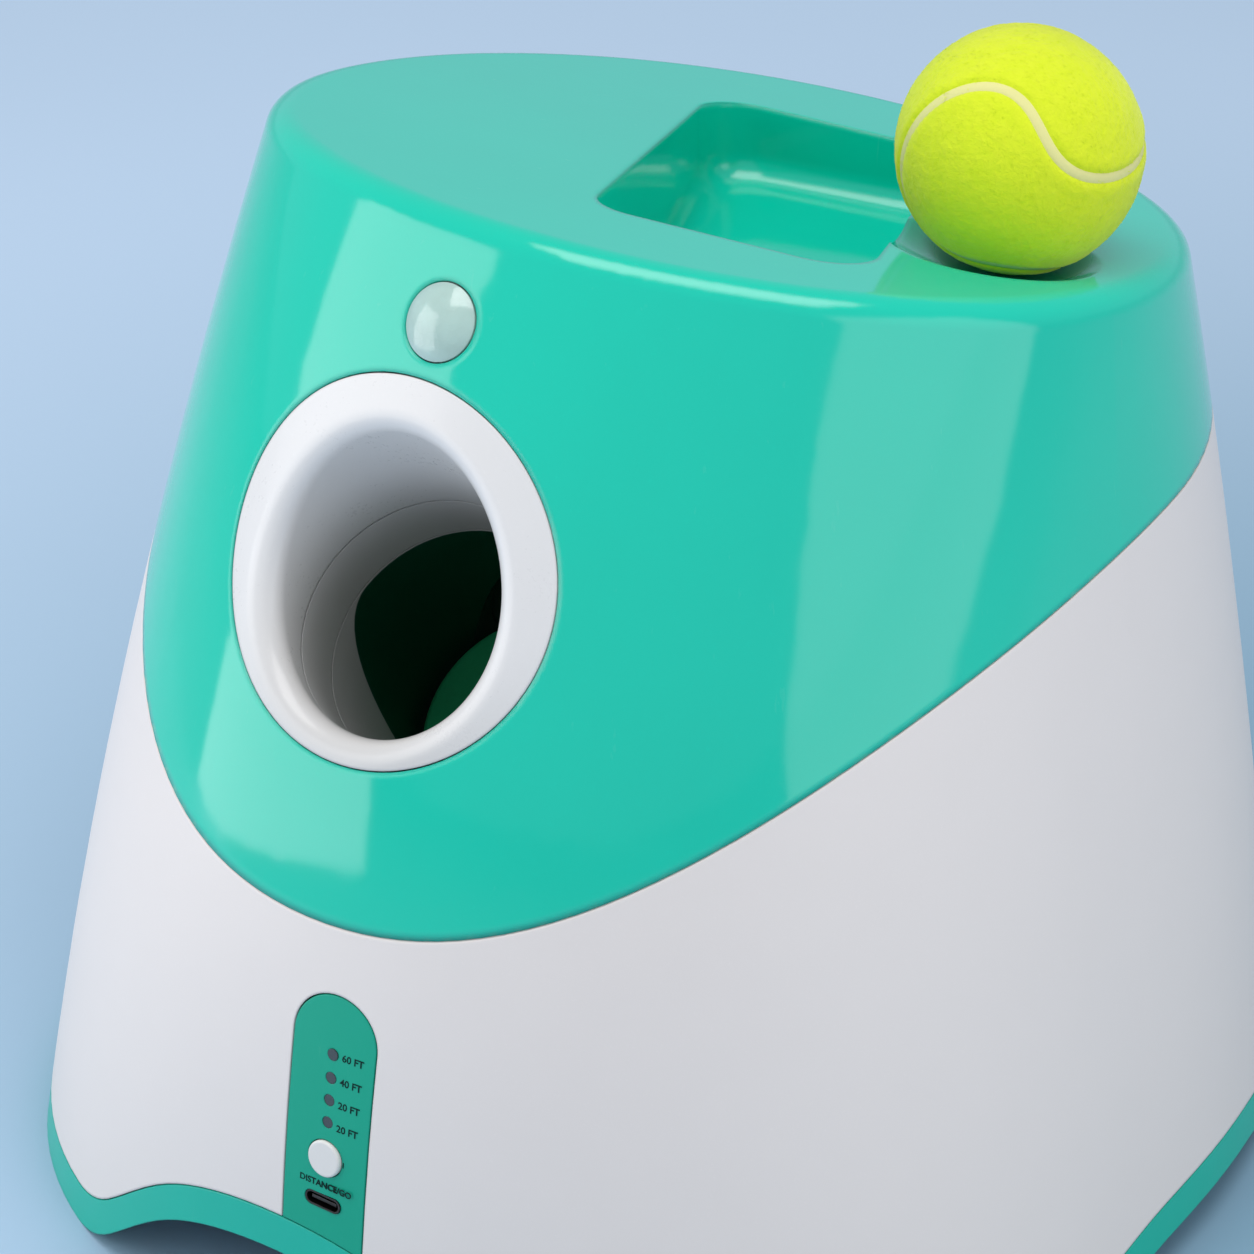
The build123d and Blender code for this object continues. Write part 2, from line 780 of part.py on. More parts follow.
sector_drop = rack_offset + sector_pitch_radius
sector_axis = muzzle_centre + barrel_direction * gear_contact + below_barrel * sector_drop
reduction_axis = swing(sector_axis, reduction_direction, drive_radius + pinion_radius)
motor_axis = swing(reduction_axis, motor_direction, wheel_radius + motor_pinion_radius)
plate_feet = (sector_axis.Y, reduction_axis.Y)
plate_foot_z = base_height + base_thickness + joint_gap + plate_foot_radius
rib_centre = (sector_axis.Y + reduction_axis.Y) / 2
rib_places = (left_plate_x - plate_thickness, right_plate_x + plate_thickness)

with BuildPart() as base_screws:
    for x, y in foot_positions:
        add(rod(upright(x, y, foot_pad_height + joint_gap), screw_head_height, screw_head_radius))
        add(rod(upright(x, y, foot_pad_height + joint_gap), base_screw_length, screw_radius))
save(base_screws.part, "base_screws")

with BuildPart() as hood_screws:
    for point in hood_screw_points:
        add(screw_at(tab_plane(point), hood_screw_length))
save(hood_screws.part, "hood_screws")

battery_opening = (battery_size[0] + 2, battery_size[1] + 2)
door_size = (battery_opening[0] + 2 * battery_door_margin, battery_opening[1] + 2 * battery_door_margin)
door_screw_points = [(battery_centre[0] + side * (battery_opening[0] / 2 + battery_door_margin / 2 + 0.6),
                      battery_centre[1]) for side in (-1, 1)]
plate_top = base_height + base_thickness
cradle_screw_points = [(side * (cradle_width / 2 + 5.0), cradle_y) for side in (-1, 1)]
standoff_points = [(main_board_centre[0] + sx * (main_board_size[0] / 2 - standoff_inset),
                    main_board_centre[1] + sy * (main_board_size[1] / 2 - standoff_inset))
                   for sx in (-1, 1) for sy in (-1, 1)]

with BuildPart() as base_plate:
    with BuildSketch(Plane.YZ):
        with BuildLine():
            Polyline((-far, shelf_height), (base_step_front, shelf_height), (base_step_front, base_height),
                     (base_step_rear, base_height), (base_step_rear, shelf_height), (far, shelf_height),
                     (far, shelf_top), (base_step_rear - base_thickness, shelf_top),
                     (base_step_rear - base_thickness, plate_top),
                     (base_step_front + base_thickness, plate_top),
                     (base_step_front + base_thickness, shelf_top), (-far, shelf_top), close=True)
        make_face()
    extrude(amount=far, both=True)
    add(body_solid(base_inset), mode=Mode.INTERSECT)
    cut(block(upright(*battery_centre, base_height), (*battery_opening, 4 * base_thickness)))
    cut(block(upright(*battery_centre, base_height), (*door_size, 2 * battery_door_thickness)))
    for x, y in door_screw_points:
        cut(rod(upright(x, y, 0), plate_top + 1, boss_hole_radius))
    for x, y in foot_positions:
        cut(rod(upright(x, y, 0), plate_top + 1, hole_radius))
    for x, y in standoff_points:
        add(rod(upright(x, y, plate_top), standoff_height, standoff_radius))
        cut(rod(upright(x, y, base_height + 1), reach, boss_hole_radius))
    for x in rib_places:
        rib_plane = upright(x + plate_thickness / 2, rib_centre, plate_top)
        add(block(rib_plane, (plate_thickness, rib_length, rib_height), (0, 0, rib_height / 2 - rib_root)))
    for y in plate_feet:
        cut(rod(side_plane(-reach, Vector(0, y, plate_foot_z)), 2 * reach, hole_radius))
    for x, y in cradle_screw_points:
        cut(rod(upright(x, y, 0), plate_top + 1, boss_hole_radius))
    with Locations(upright(*speaker_centre, plate_top)):
        for ring_radius, count in grille_rings:
            with PolarLocations(ring_radius, count):
                Cylinder(grille_hole_radius, 4 * base_thickness, mode=Mode.SUBTRACT)
save(base_plate.part, "base_plate")

with BuildPart() as battery_door:
    add(block(upright(*battery_centre, base_height + battery_door_thickness / 2),
              (door_size[0] - 0.6, door_size[1] - 0.6, battery_door_thickness)))
    for x, y in door_screw_points:
        cut(rod(upright(x, y, 0), reach, hole_radius))
save(battery_door.part, "battery_door")

with BuildPart() as door_screws:
    for x, y in door_screw_points:
        add(screw_at(upright(x, y, base_height), base_thickness))
save(door_screws.part, "door_screws")

with BuildPart() as battery_pack:
    battery_plane = upright(*battery_centre, base_height + battery_door_thickness + joint_gap)
    add(block(battery_plane, battery_size, (0, 0, battery_size[2] / 2)))
    fillet(battery_pack.edges().filter_by(Axis.X), 8)
save(battery_pack.part, "battery_pack")

with BuildPart() as main_board:
    board_plane = upright(*main_board_centre, plate_top + standoff_height + board_thickness / 2)
    add(block(board_plane, (*main_board_size, board_thickness)))
    for x, y in standoff_points:
        cut(rod(upright(x, y, 0), reach, hole_radius))
save(main_board.part, "main_board")

board_top = plate_top + standoff_height + board_thickness
with BuildPart() as board_components:
    parts_plane = upright(*main_board_centre, board_top)
    for size, place in board_blocks:
        add(block(parts_plane, size, (*place, size[2] / 2)))
    for place in capacitor_places:
        add(rod(Plane(origin=parts_plane.from_local_coords((*place, 0)), z_dir=(0, 0, 1)), capacitor_height,
                capacitor_radius))
save(board_components.part, "board_components")

with BuildPart() as board_screws:
    for x, y in standoff_points:
        down = Plane(origin=(x, y, board_top), x_dir=(1, 0, 0), z_dir=(0, 0, -1))
        add(screw_at(down, standoff_height))
save(board_screws.part, "board_screws")

speaker_bottom = plate_top + speaker_gap
with BuildPart() as speaker:
    add(rod(upright(*speaker_centre, speaker_bottom), speaker_rim_height, speaker_radius))
    with BuildSketch(upright(*speaker_centre, speaker_bottom + speaker_rim_height)):
        Circle(speaker_basket_radius)
    extrude(amount=speaker_basket_height, taper=speaker_basket_taper)
    add(rod(upright(*speaker_centre, speaker_bottom), speaker_height, speaker_magnet_radius))
save(speaker.part, "speaker")

# ---------------------------------------------------------------- muzzle ring, barrel and launch cylinder
behind_wall = body_solid(wall + joint_gap)
behind_flange = body_solid(wall + joint_gap + 1.5)
with BuildPart() as muzzle_ring:
    add(rod(hood_plane.offset(-reach / 4), reach, muzzle_ring_radius) & (outer - behind_flange))
    add(rod(barrel_plane(-reach), reach + ring_stub_length, tube_radius) & outer)
    cut(rod(barrel_plane(-reach), far / 2, bore_radius))
    lip = muzzle_ring.edges().filter_by(lambda e: e.length > 2 * bore_radius * 3).sort_by(
        lambda e: (e.center() - muzzle_centre).length)[0]
    fillet(lip, muzzle_lip_radius)
save(muzzle_ring.part, "muzzle_ring")

flange_radius = tube_radius + flange_width
flange_screw_radius = flange_radius - screw_radius - screw_fit - wall / 2
with BuildPart() as barrel:
    add(tube(barrel_plane(ring_stub_length + joint_gap), barrel_length - ring_stub_length - joint_gap,
                     tube_radius, bore_radius))
    add(tube(barrel_plane(barrel_length - flange_thickness), flange_thickness, flange_radius, bore_radius))
    with BuildSketch(barrel_plane(0)):
        for angle in barrel_screw_angles:
            with Locations((flange_screw_radius * math.cos(math.radians(angle)),
                            flange_screw_radius * math.sin(math.radians(angle)))):
                Circle(hole_radius)
    extrude(amount=far, mode=Mode.SUBTRACT)
save(barrel.part, "barrel")

# Axial plane: local x runs down the barrel, local y points below it, and its normal is -X.
axial_plane = Plane(origin=muzzle_centre, x_dir=barrel_direction, z_dir=(-1, 0, 0))
rack_pitch = math.pi * sector_module
rack_root = rack_offset - 1.25 * sector_module
rack_tip = rack_offset + sector_module
cylinder_start = barrel_length + joint_gap
slot_start = plunger_start - slot_lead
slot_half_width = sector_width / 2 + slot_side_gap


def lug_planes():
    """Places of the lugs that hold the gearbox plates, each with the side that faces its plate."""
    places = []
    for distance in lug_positions:
        centre = muzzle_centre + barrel_direction * distance + below_barrel * lug_drop
        places.append((centre, left_plate_x, -1))
        places.append((centre, right_plate_x + plate_thickness, 1))
    return places


with BuildPart() as launch_cylinder:
    add(tube(barrel_plane(cylinder_start), cylinder_end - cylinder_start, cylinder_radius, 10))
    add(tube(barrel_plane(cylinder_start), flange_thickness, flange_radius, bore_radius))
    add(tube(barrel_plane(cylinder_end - flange_thickness), flange_thickness, flange_radius, bore_radius))
    for centre, x, side in lug_planes():
        lug_plane = Plane(origin=(x, centre.Y, centre.Z), x_dir=barrel_direction, z_dir=(side, 0, 0))
        top = lug_drop - math.sqrt((tube_radius - 1) ** 2 - (abs(x) + lug_thickness) ** 2)
        with BuildSketch(lug_plane):
            with Locations((0, (lug_size / 2 - top) / 2 * (1 if side < 0 else -1))):
                Rectangle(lug_size, lug_size / 2 + top)
        extrude(amount=lug_thickness)
    cut(rod(barrel_plane(cylinder_start - 1), far, bore_radius))
    for centre, x, side in lug_planes():
        lug_plane = Plane(origin=(x, centre.Y, centre.Z), x_dir=barrel_direction, z_dir=(side, 0, 0))
        cut(rod(lug_plane.offset(-1), lug_thickness + 2, hole_radius))
    cut(rod(chute_plane(0), (chute_foot - chute_top).length, feed_radius))
    with BuildSketch(axial_plane):
        with Locations(((slot_start + cylinder_end + 1) / 2, rack_offset)):
            Rectangle(cylinder_end + 1 - slot_start, 2 * (rack_offset - bore_radius / 2))
    extrude(amount=slot_half_width, both=True, mode=Mode.SUBTRACT)
    with BuildSketch(barrel_plane(0)):
        for angle in barrel_screw_angles:
            with Locations((flange_screw_radius * math.cos(math.radians(angle)),
                            flange_screw_radius * math.sin(math.radians(angle)))):
                Circle(boss_hole_radius)
    extrude(amount=cylinder_start + flange_thickness, mode=Mode.SUBTRACT)
    with BuildSketch(barrel_plane(cylinder_end - flange_thickness)):
        for angle in barrel_screw_angles:
            with Locations((flange_screw_radius * math.cos(math.radians(angle + cap_screw_turn)),
                            flange_screw_radius * math.sin(math.radians(angle + cap_screw_turn)))):
                Circle(boss_hole_radius)
    extrude(amount=far, mode=Mode.SUBTRACT)
save(launch_cylinder.part, "launch_cylinder")


def ring_place(distance, angle):
    """Plane on the flange screw circle, facing down the barrel."""
    plane = barrel_plane(distance)
    place = plane.from_local_coords((flange_screw_radius * math.cos(math.radians(angle)),
                                     flange_screw_radius * math.sin(math.radians(angle)), 0))
    return Plane(origin=place, x_dir=plane.x_dir, z_dir=plane.z_dir)


with BuildPart() as barrel_screws:
    for angle in barrel_screw_angles:
        add(screw_at(ring_place(barrel_length - flange_thickness, angle), 2 * flange_thickness))
save(barrel_screws.part, "barrel_screws")

with BuildPart() as feed_chute:
    add(tube(chute_plane(wall + 2 * joint_gap), (chute_foot - chute_top).length, feed_radius + chute_wall, 5))
    cut(rod(barrel_plane(0), far, cylinder_radius + joint_gap))
    cut(rod(chute_plane(0), far, feed_radius))
    cut(block(chute_plane(switch_distance), chute_slot_size, (feed_radius + run_out, 0, chute_wall)))
    add(block(chute_plane(switch_distance), switch_rest_size, switch_rest_spot))
save(feed_chute.part, "feed_chute")

# ---------------------------------------------------------------- plunger, spring and cap
plunger_radius = bore_radius - plunger_clearance
with BuildPart() as plunger:
    add(rod(barrel_plane(plunger_start), plunger_length, plunger_radius))
    cut(rod(barrel_plane(plunger_start + plunger_head), plunger_length, plunger_radius - plunger_wall))
    with BuildSketch(axial_plane):
        with BuildLine():
            rear_tip = gear_contact - sector_first_tooth * rack_pitch + rack_pitch / 2
            half_pitch_line = rack_pitch / 4 - tooth_backlash / 2
            flank_slope = math.tan(math.radians(pressure_angle))
            half_tip = half_pitch_line - (rack_tip - rack_offset) * flank_slope
            half_root = half_pitch_line + (rack_offset - rack_root) * flank_slope
            outline = [(rear_tip + half_root, plunger_radius - plunger_wall)]
            for number in range(sector_first_tooth, sector_last_tooth + 1):
                middle = gear_contact - (number - 0.5) * rack_pitch
                outline += [(middle + half_root, rack_root), (middle + half_tip, rack_tip),
                            (middle - half_tip, rack_tip), (middle - half_root, rack_root)]
            outline.append((outline[-1][0], plunger_radius - plunger_wall))
            Polyline(*outline, close=True)
        make_face()
    extrude(amount=sector_width / 2, both=True)
save(plunger.part, "plunger")

with BuildPart() as plunger_pad:
    add(rod(barrel_plane(plunger_face), pad_thickness, plunger_radius - pad_gap))
    fillet(plunger_pad.edges().sort_by(lambda e: (e.center() - muzzle_centre).length)[:1], pad_edge_radius)
save(plunger_pad.part, "plunger_pad")

spring_start = plunger_start + plunger_head + spring_seat_gap
spring_end = cylinder_end - spring_seat_gap
spring_height = spring_end - spring_start - spring_wire
with BuildPart() as launch_spring:
    with BuildLine():
        coil = Helix(pitch=spring_height / spring_turns, height=spring_height, radius=spring_mean_radius,
                     center=muzzle_centre + barrel_direction * (spring_start + spring_wire / 2),
                     direction=barrel_direction)
    with BuildSketch(Plane(origin=coil @ 0, z_dir=coil % 0)):
        Circle(spring_wire / 2)
    sweep()
save(launch_spring.part, "launch_spring")

with BuildPart() as spring_cap:
    add(rod(barrel_plane(cylinder_end), cap_thickness, flange_radius))
    add(rod(barrel_plane(cylinder_end - guide_rod_length), guide_rod_length + 1, guide_rod_radius))
    cut(rod(barrel_plane(0), cylinder_end + cap_thickness - 2, guide_rod_radius - plunger_wall))
    for angle in barrel_screw_angles:
        cut(rod(ring_place(cylinder_end - run_out, angle + cap_screw_turn), reach, hole_radius))
save(spring_cap.part, "spring_cap")

with BuildPart() as cap_screws:
    for angle in barrel_screw_angles:
        place = ring_place(cylinder_end + cap_thickness, angle + cap_screw_turn)
        inward = Plane(origin=place.origin, x_dir=place.x_dir, z_dir=place.z_dir * -1)
        add(screw_at(inward, cap_thickness + cap_screw_bite))
save(cap_screws.part, "cap_screws")

# ---------------------------------------------------------------- gears and their shafts
drive_x = -sector_width / 2 - gear_gap - drive_width
wheel_x = drive_x - gear_gap - wheel_width

with BuildPart() as sector_gear:
    with BuildSketch(side_plane(-sector_width / 2, sector_axis)):
        add(gear_outline(sector_module, sector_teeth, contact_direction,
                         range(sector_first_tooth, sector_last_tooth + 1)))
    extrude(amount=sector_width)
    with BuildSketch(side_plane(drive_x, sector_axis)):
        add(gear_outline(drive_module, drive_teeth, reduction_direction))
    extrude(amount=drive_width)
    with BuildSketch(side_plane(drive_x - gear_gap, sector_axis)):
        Circle(gear_hub_radius)
    extrude(amount=right_plate_x - drive_x - bush_flange)
    with BuildSketch(side_plane(-far, sector_axis)):
        Circle(sector_shaft_radius + shaft_clearance / 2)
    extrude(amount=2 * far, mode=Mode.SUBTRACT)
save(sector_gear.part, "sector_gear")

with BuildPart() as reduction_gear:
    with BuildSketch(side_plane(wheel_x, reduction_axis)):
        add(gear_outline(wheel_module, wheel_teeth, motor_direction))
    extrude(amount=wheel_width)
    with BuildSketch(side_plane(wheel_x + wheel_width, reduction_axis)):
        add(gear_outline(drive_module, pinion_teeth, reduction_direction + 180 + 180 / pinion_teeth))
    extrude(amount=gear_gap + drive_width)
    with BuildSketch(side_plane(-far, reduction_axis)):
        Circle(reduction_shaft_radius + shaft_clearance / 2)
    extrude(amount=2 * far, mode=Mode.SUBTRACT)
save(reduction_gear.part, "reduction_gear")

with BuildPart() as motor_pinion:
    with BuildSketch(side_plane(wheel_x, motor_axis)):
        add(gear_outline(wheel_module, motor_pinion_teeth, motor_direction + 180 + 180 / motor_pinion_teeth))
        Circle(motor_shaft_radius + shaft_clearance / 2, mode=Mode.SUBTRACT)
    extrude(amount=wheel_width)
save(motor_pinion.part, "motor_pinion")

shaft_start = left_plate_x - 2.0
shaft_end = right_plate_x + plate_thickness + 2.0
with BuildPart() as sector_shaft:
    add(rod(side_plane(shaft_start, sector_axis), shaft_end - shaft_start, sector_shaft_radius))
save(sector_shaft.part, "sector_shaft")
with BuildPart() as reduction_shaft:
    add(rod(side_plane(shaft_start, reduction_axis), shaft_end - shaft_start, reduction_shaft_radius))
save(reduction_shaft.part, "reduction_shaft")
with BuildPart() as motor_shaft:
    motor_rear = left_plate_x - motor_length
    add(rod(side_plane(motor_rear - 2, motor_axis), wheel_x + wheel_width - motor_rear + 2,
                    motor_shaft_radius))
save(motor_shaft.part, "motor_shaft")

# ---------------------------------------------------------------- gearbox plates, bushes and motor
plate_places = ((left_plate_x, -1), (right_plate_x, 1))


def plate_outline(motor_side):
    """Outline of a gearbox plate: a hull around its shafts, its lugs and its feet."""
    spots = [(sector_axis.Y, sector_axis.Z, plate_margin), (reduction_axis.Y, reduction_axis.Z, plate_margin)]
    for distance in lug_positions:
        lug = muzzle_centre + barrel_direction * distance + below_barrel * (lug_drop + 1)
        spots.append((lug.Y, lug.Z, lug_size / 2))
    for y in plate_feet:
        spots.append((y, plate_foot_z, plate_foot_radius))
    if motor_side:
        spots.append((motor_axis.Y, motor_axis.Z, motor_radius))
    with BuildSketch() as outline:
        for y, z, radius in spots:
            with Locations((y, z)):
                Circle(radius)
        make_hull()
    return outline.sketch


for name, (x, side) in zip(("gearbox_plate_left", "gearbox_plate_right"), plate_places):
    with BuildPart() as plate:
        with BuildSketch(Plane.YZ.offset(x)):
            add(plate_outline(side < 0))
        extrude(amount=plate_thickness)
        cut(rod(side_plane(x - 1, sector_axis), plate_thickness + 2, sector_shaft_radius + bush_wall))
        cut(rod(side_plane(x - 1, reduction_axis), plate_thickness + 2, reduction_shaft_radius + bush_wall))
        if side < 0:
            cut(rod(side_plane(x - 1, motor_axis), plate_thickness + 2, motor_boss_radius + 0.1))
            for spot in (-1, 1):
                centre = swing(motor_axis, motor_direction + 90, spot * motor_screw_spacing / 2)
                cut(rod(side_plane(x - 1, centre), plate_thickness + 2, hole_radius))
        for distance in lug_positions:
            centre = muzzle_centre + barrel_direction * distance + below_barrel * lug_drop
            cut(rod(side_plane(x - 1, centre), plate_thickness + 2, boss_hole_radius))
        for y in plate_feet:
            centre = Vector(0, y, plate_foot_z)
            cut(rod(side_plane(x - 1, centre), plate_thickness + 2, boss_hole_radius))
    save(plate.part, name)

with BuildPart() as shaft_bushes:
    for axis, radius in ((sector_axis, sector_shaft_radius), (reduction_axis, reduction_shaft_radius)):
        for x, side in plate_places:
            add(tube(side_plane(x, axis), plate_thickness, radius + bush_wall, radius + shaft_clearance))
            outside = x if side < 0 else x + plate_thickness
            facing = Plane(origin=(outside, axis.Y, axis.Z), x_dir=(0, 1, 0), z_dir=(side, 0, 0))
            add(tube(facing, bush_flange, radius + bush_wall + 1.0, radius + shaft_clearance))
save(shaft_bushes.part, "shaft_bushes")

with BuildPart() as drive_motor:
    front = side_plane(left_plate_x, motor_axis)
    add(rod(front, -motor_length, motor_radius))
    fillet(drive_motor.edges().sort_by(Axis.X)[:1], motor_edge_radius)
    add(rod(front, plate_thickness, motor_boss_radius))
    add(rod(front.offset(-motor_length), -motor_rear_boss, motor_boss_radius))
    cut(rod(front.offset(-far / 2), far, motor_shaft_radius + shaft_clearance))
    for spot in (-1, 1):
        centre = swing(motor_axis, motor_direction + 90, spot * motor_screw_spacing / 2)
        cut(rod(side_plane(front.origin.X - motor_screw_bite - run_out, centre), far, boss_hole_radius))
save(drive_motor.part, "drive_motor")

with BuildPart() as motor_screws:
    for spot in (-1, 1):
        centre = swing(motor_axis, motor_direction + 90, spot * motor_screw_spacing / 2)
        head_side = Vector(left_plate_x + plate_thickness, centre.Y, centre.Z)
        inward = Plane(origin=head_side, x_dir=(0, 1, 0), z_dir=(-1, 0, 0))
        with BuildSketch(inward):
            Circle(screw_radius)
        extrude(amount=plate_thickness + motor_screw_bite)
        with BuildSketch(inward):
            Circle(motor_screw_head_radius)
        extrude(amount=-motor_screw_head_height)
save(motor_screws.part, "motor_screws")

with BuildPart() as frame_screws:
    for centre, x, side in lug_planes():
        outside = Vector(x + side * lug_thickness, centre.Y, centre.Z)
        inward = Plane(origin=outside, x_dir=(0, 1, 0), z_dir=(-side, 0, 0))
        add(screw_at(inward, lug_thickness + plate_thickness))
    for y in plate_feet:
        for x, side in ((rib_places[0], -1), (rib_places[1] + plate_thickness, 1)):
            outside = Vector(x, y, plate_foot_z)
            add(screw_at(Plane(origin=outside, x_dir=(0, 1, 0), z_dir=(-side, 0, 0)), 2 * plate_thickness))
save(frame_screws.part, "frame_screws")

# ---------------------------------------------------------------- cylinder cradle
with BuildPart() as cylinder_cradle:
    with BuildSketch(upright(0, cradle_y, plate_top + joint_gap)):
        Rectangle(cradle_width + 20, cradle_depth)
    extrude(amount=cradle_foot_thickness)
    for side in (-1, 1):
        cheek_width = (cradle_width - cradle_gap) / 2
        cheek_plane = upright(side * (cradle_gap + cheek_width) / 2, cradle_y, plate_top + joint_gap)
        cheek_size = (cheek_width, cradle_depth, cradle_cheek_height)
        add(block(cheek_plane, cheek_size, (0, 0, cradle_cheek_height / 2)))
    cut(rod(barrel_plane(0), far, cylinder_radius + joint_gap))
    cut(rod(barrel_plane(cylinder_end - flange_thickness - joint_gap), far, flange_radius + joint_gap))
    for x, y in cradle_screw_points:
        cut(rod(upright(x, y, 0), far, hole_radius))
save(cylinder_cradle.part, "cylinder_cradle")

with BuildPart() as cradle_screws:
    for x, y in cradle_screw_points:
        top = plate_top + joint_gap + cradle_foot_thickness
        add(screw_at(Plane(origin=(x, y, top), x_dir=(1, 0, 0), z_dir=(0, 0, -1)),
                     cradle_foot_thickness + joint_gap + base_thickness))
save(cradle_screws.part, "cradle_screws")

# ---------------------------------------------------------------- control panel
panel_plane = surface_plane(panel_offset, (panel_top + front_arch_height + skirt_height) / 2)


def panel_spot(height, depth, across=0.0):
    """Plane on the panel at a height, below its face by a depth, facing out."""
    drop = (height - panel_plane.origin.Z) / panel_plane.y_dir.Z
    origin = panel_plane.from_local_coords((across, drop, -depth))
    return Plane(origin=origin, x_dir=panel_plane.x_dir, z_dir=panel_plane.z_dir)


flange_base = shelf_height + base_thickness + joint_gap
board_post_heights = (control_board_bottom + board_post_inset[0], control_board_top - board_post_inset[1])
board_post_places = [(height, side * board_post_offset) for height in board_post_heights for side in (-1, 1)]
panel_depth = wall + joint_gap + panel_flange
with BuildPart() as low_cavity:
    add(cavity)
    split(bisect_by=Plane.XY.offset(flange_base), keep=Keep.BOTTOM)

with BuildPart() as board_posts:
    for height, across in board_post_places:
        add(rod(panel_spot(height, control_board_depth, across), control_board_depth, board_post_radius))
    add(behind_wall, mode=Mode.INTERSECT)

with BuildPart() as control_panel:
    add(panel_prism(panel_flange_margin))
    add(behind_wall, mode=Mode.INTERSECT)
    add(panel_prism(-seam_gap / 2) & outer)
    cut(behind_flange)
    cut(low_cavity.part)
    cut(below_arches(skirt_height + seam_gap))
    add(board_posts.part)
    for height, across in board_post_places:
        cut(rod(panel_spot(height, control_board_depth, across), control_board_depth - wall - run_out,
                board_screw_radius + thread_clearance))
    for height in led_heights:
        cut(rod(panel_spot(height, reach / 2), reach, led_radius))
    cut(rod(panel_spot(button_height, reach / 2), reach, button_radius + button_clearance))
    with BuildSketch(panel_spot(usb_height, reach / 2)):
        SlotOverall(usb_width + 2 * usb_gap, usb_opening + 2 * usb_gap)
    extrude(amount=reach, mode=Mode.SUBTRACT)
save(control_panel.part, "control_panel")

with BuildPart() as status_windows:
    for height in led_heights:
        add(rod(panel_spot(height, panel_depth + window_rear), panel_depth + window_rear - window_setback,
                led_radius - window_gap))
save(status_windows.part, "status_windows")

with BuildPart() as status_leds:
    for height in led_heights:
        add(rod(panel_spot(height, control_board_depth - part_gap),
                control_board_depth - panel_depth - run_out, led_lens_radius))
save(status_leds.part, "status_leds")

button_flange_depth = panel_depth + button_flange_room
button_rear = button_flange_depth + button_flange_thickness
with BuildPart() as control_button:
    add(rod(panel_spot(button_height, button_rear), button_rear + button_proud, button_radius))
    fillet(control_button.edges().sort_by(Axis.Y)[:1], button_edge_radius)
    add(rod(panel_spot(button_height, button_rear), button_flange_thickness,
            button_radius + button_flange_width))
    add(rod(panel_spot(button_height, button_rear + button_nib_height), button_nib_height + button_nib_root,
            button_nib_radius))
save(control_button.part, "control_button")

tact_height = control_board_depth - button_rear - button_nib_height - button_travel - switch_play
with BuildPart() as tact_switch:
    add(block(panel_spot(button_height, control_board_depth - part_gap),
              (tact_switch_side, tact_switch_side, tact_height), (0, 0, tact_height / 2)))
save(tact_switch.part, "tact_switch")

with BuildPart() as control_board:
    middle = (control_board_bottom + control_board_top) / 2
    board_size = (control_board_width, control_board_top - control_board_bottom, board_thickness)
    add(block(panel_spot(middle, control_board_depth), board_size, (0, 0, -board_thickness / 2)))
    for height, across in board_post_places:
        cut(rod(panel_spot(height, reach, across), 2 * reach, board_screw_radius + board_screw_fit))
save(control_board.part, "control_board")

with BuildPart() as control_board_screws:
    for height, across in board_post_places:
        plane = panel_spot(height, control_board_depth + board_thickness + board_screw_head[1], across)
        add(rod(plane, board_screw_head[1], board_screw_head[0]))
        add(rod(plane, board_screw_length, board_screw_radius))
save(control_board_screws.part, "control_board_screws")

with BuildPart() as usb_socket:
    with BuildSketch(panel_spot(usb_height, control_board_depth - part_gap)):
        SlotOverall(usb_width, usb_opening)
    extrude(amount=control_board_depth - part_gap - usb_mouth_setback)
    with BuildSketch(panel_spot(usb_height, usb_depth)):
        SlotOverall(usb_width - 2 * usb_wall, usb_opening - 2 * usb_wall)
    extrude(amount=reach, mode=Mode.SUBTRACT)
    with BuildSketch(panel_spot(usb_height, usb_depth + usb_wall)):
        Rectangle(*usb_tongue)
    extrude(amount=usb_depth - usb_mouth_setback - usb_tongue_setback)
save(usb_socket.part, "usb_socket")

# ---------------------------------------------------------------- motion sensor
dome_radius = (sensor_radius ** 2 + sensor_dome_rise ** 2) / (2 * sensor_dome_rise)
dome_centre = sensor_plane.offset(sensor_dome_rise - dome_radius).origin
with BuildPart() as sensor_lens:
    add(sphere_at(dome_centre, dome_radius) & rod(sensor_plane.offset(-reach / 2), reach, sensor_radius))
    add(rod(sensor_plane.offset(-reach / 2), reach, sensor_flange_radius) & behind_wall)
    cut(behind_flange)
    cut(sphere_at(dome_centre, dome_radius - lens_wall)
        & rod(sensor_plane.offset(-reach / 2), reach, sensor_radius - lens_wall))
save(sensor_lens.part, "sensor_lens")

with BuildPart() as sensor_can:
    can_plane = sensor_plane.offset(sensor_board_room - sensor_board_depth)
    add(rod(can_plane, sensor_can_height, sensor_can_radius))
    fillet(sensor_can.edges().sort_by(lambda e: (e.center() - dome_centre).length)[-1:], sensor_can_edge)
    add(rod(can_plane, sensor_can_rim[1], sensor_can_radius + sensor_can_rim[0]))
save(sensor_can.part, "sensor_can")

with BuildPart() as sensor_board:
    sensor_board_width = 2 * (sensor_post_offset + sensor_board_margin)
    add(block(sensor_plane.offset(-sensor_board_depth),
              (sensor_board_width, sensor_board_height, board_thickness),
              (0, 0, -board_thickness / 2 - sensor_board_room)))
    for side in (-1, 1):
        cut(rod(sensor_post_plane(side, reach), 2 * reach, hole_radius))
save(sensor_board.part, "sensor_board")

with BuildPart() as sensor_screws:
    for side in (-1, 1):
        head_depth = sensor_board_depth + board_thickness + 2 * sensor_board_room
        add(screw_at(sensor_post_plane(side, head_depth), sensor_screw_length))
save(sensor_screws.part, "sensor_screws")

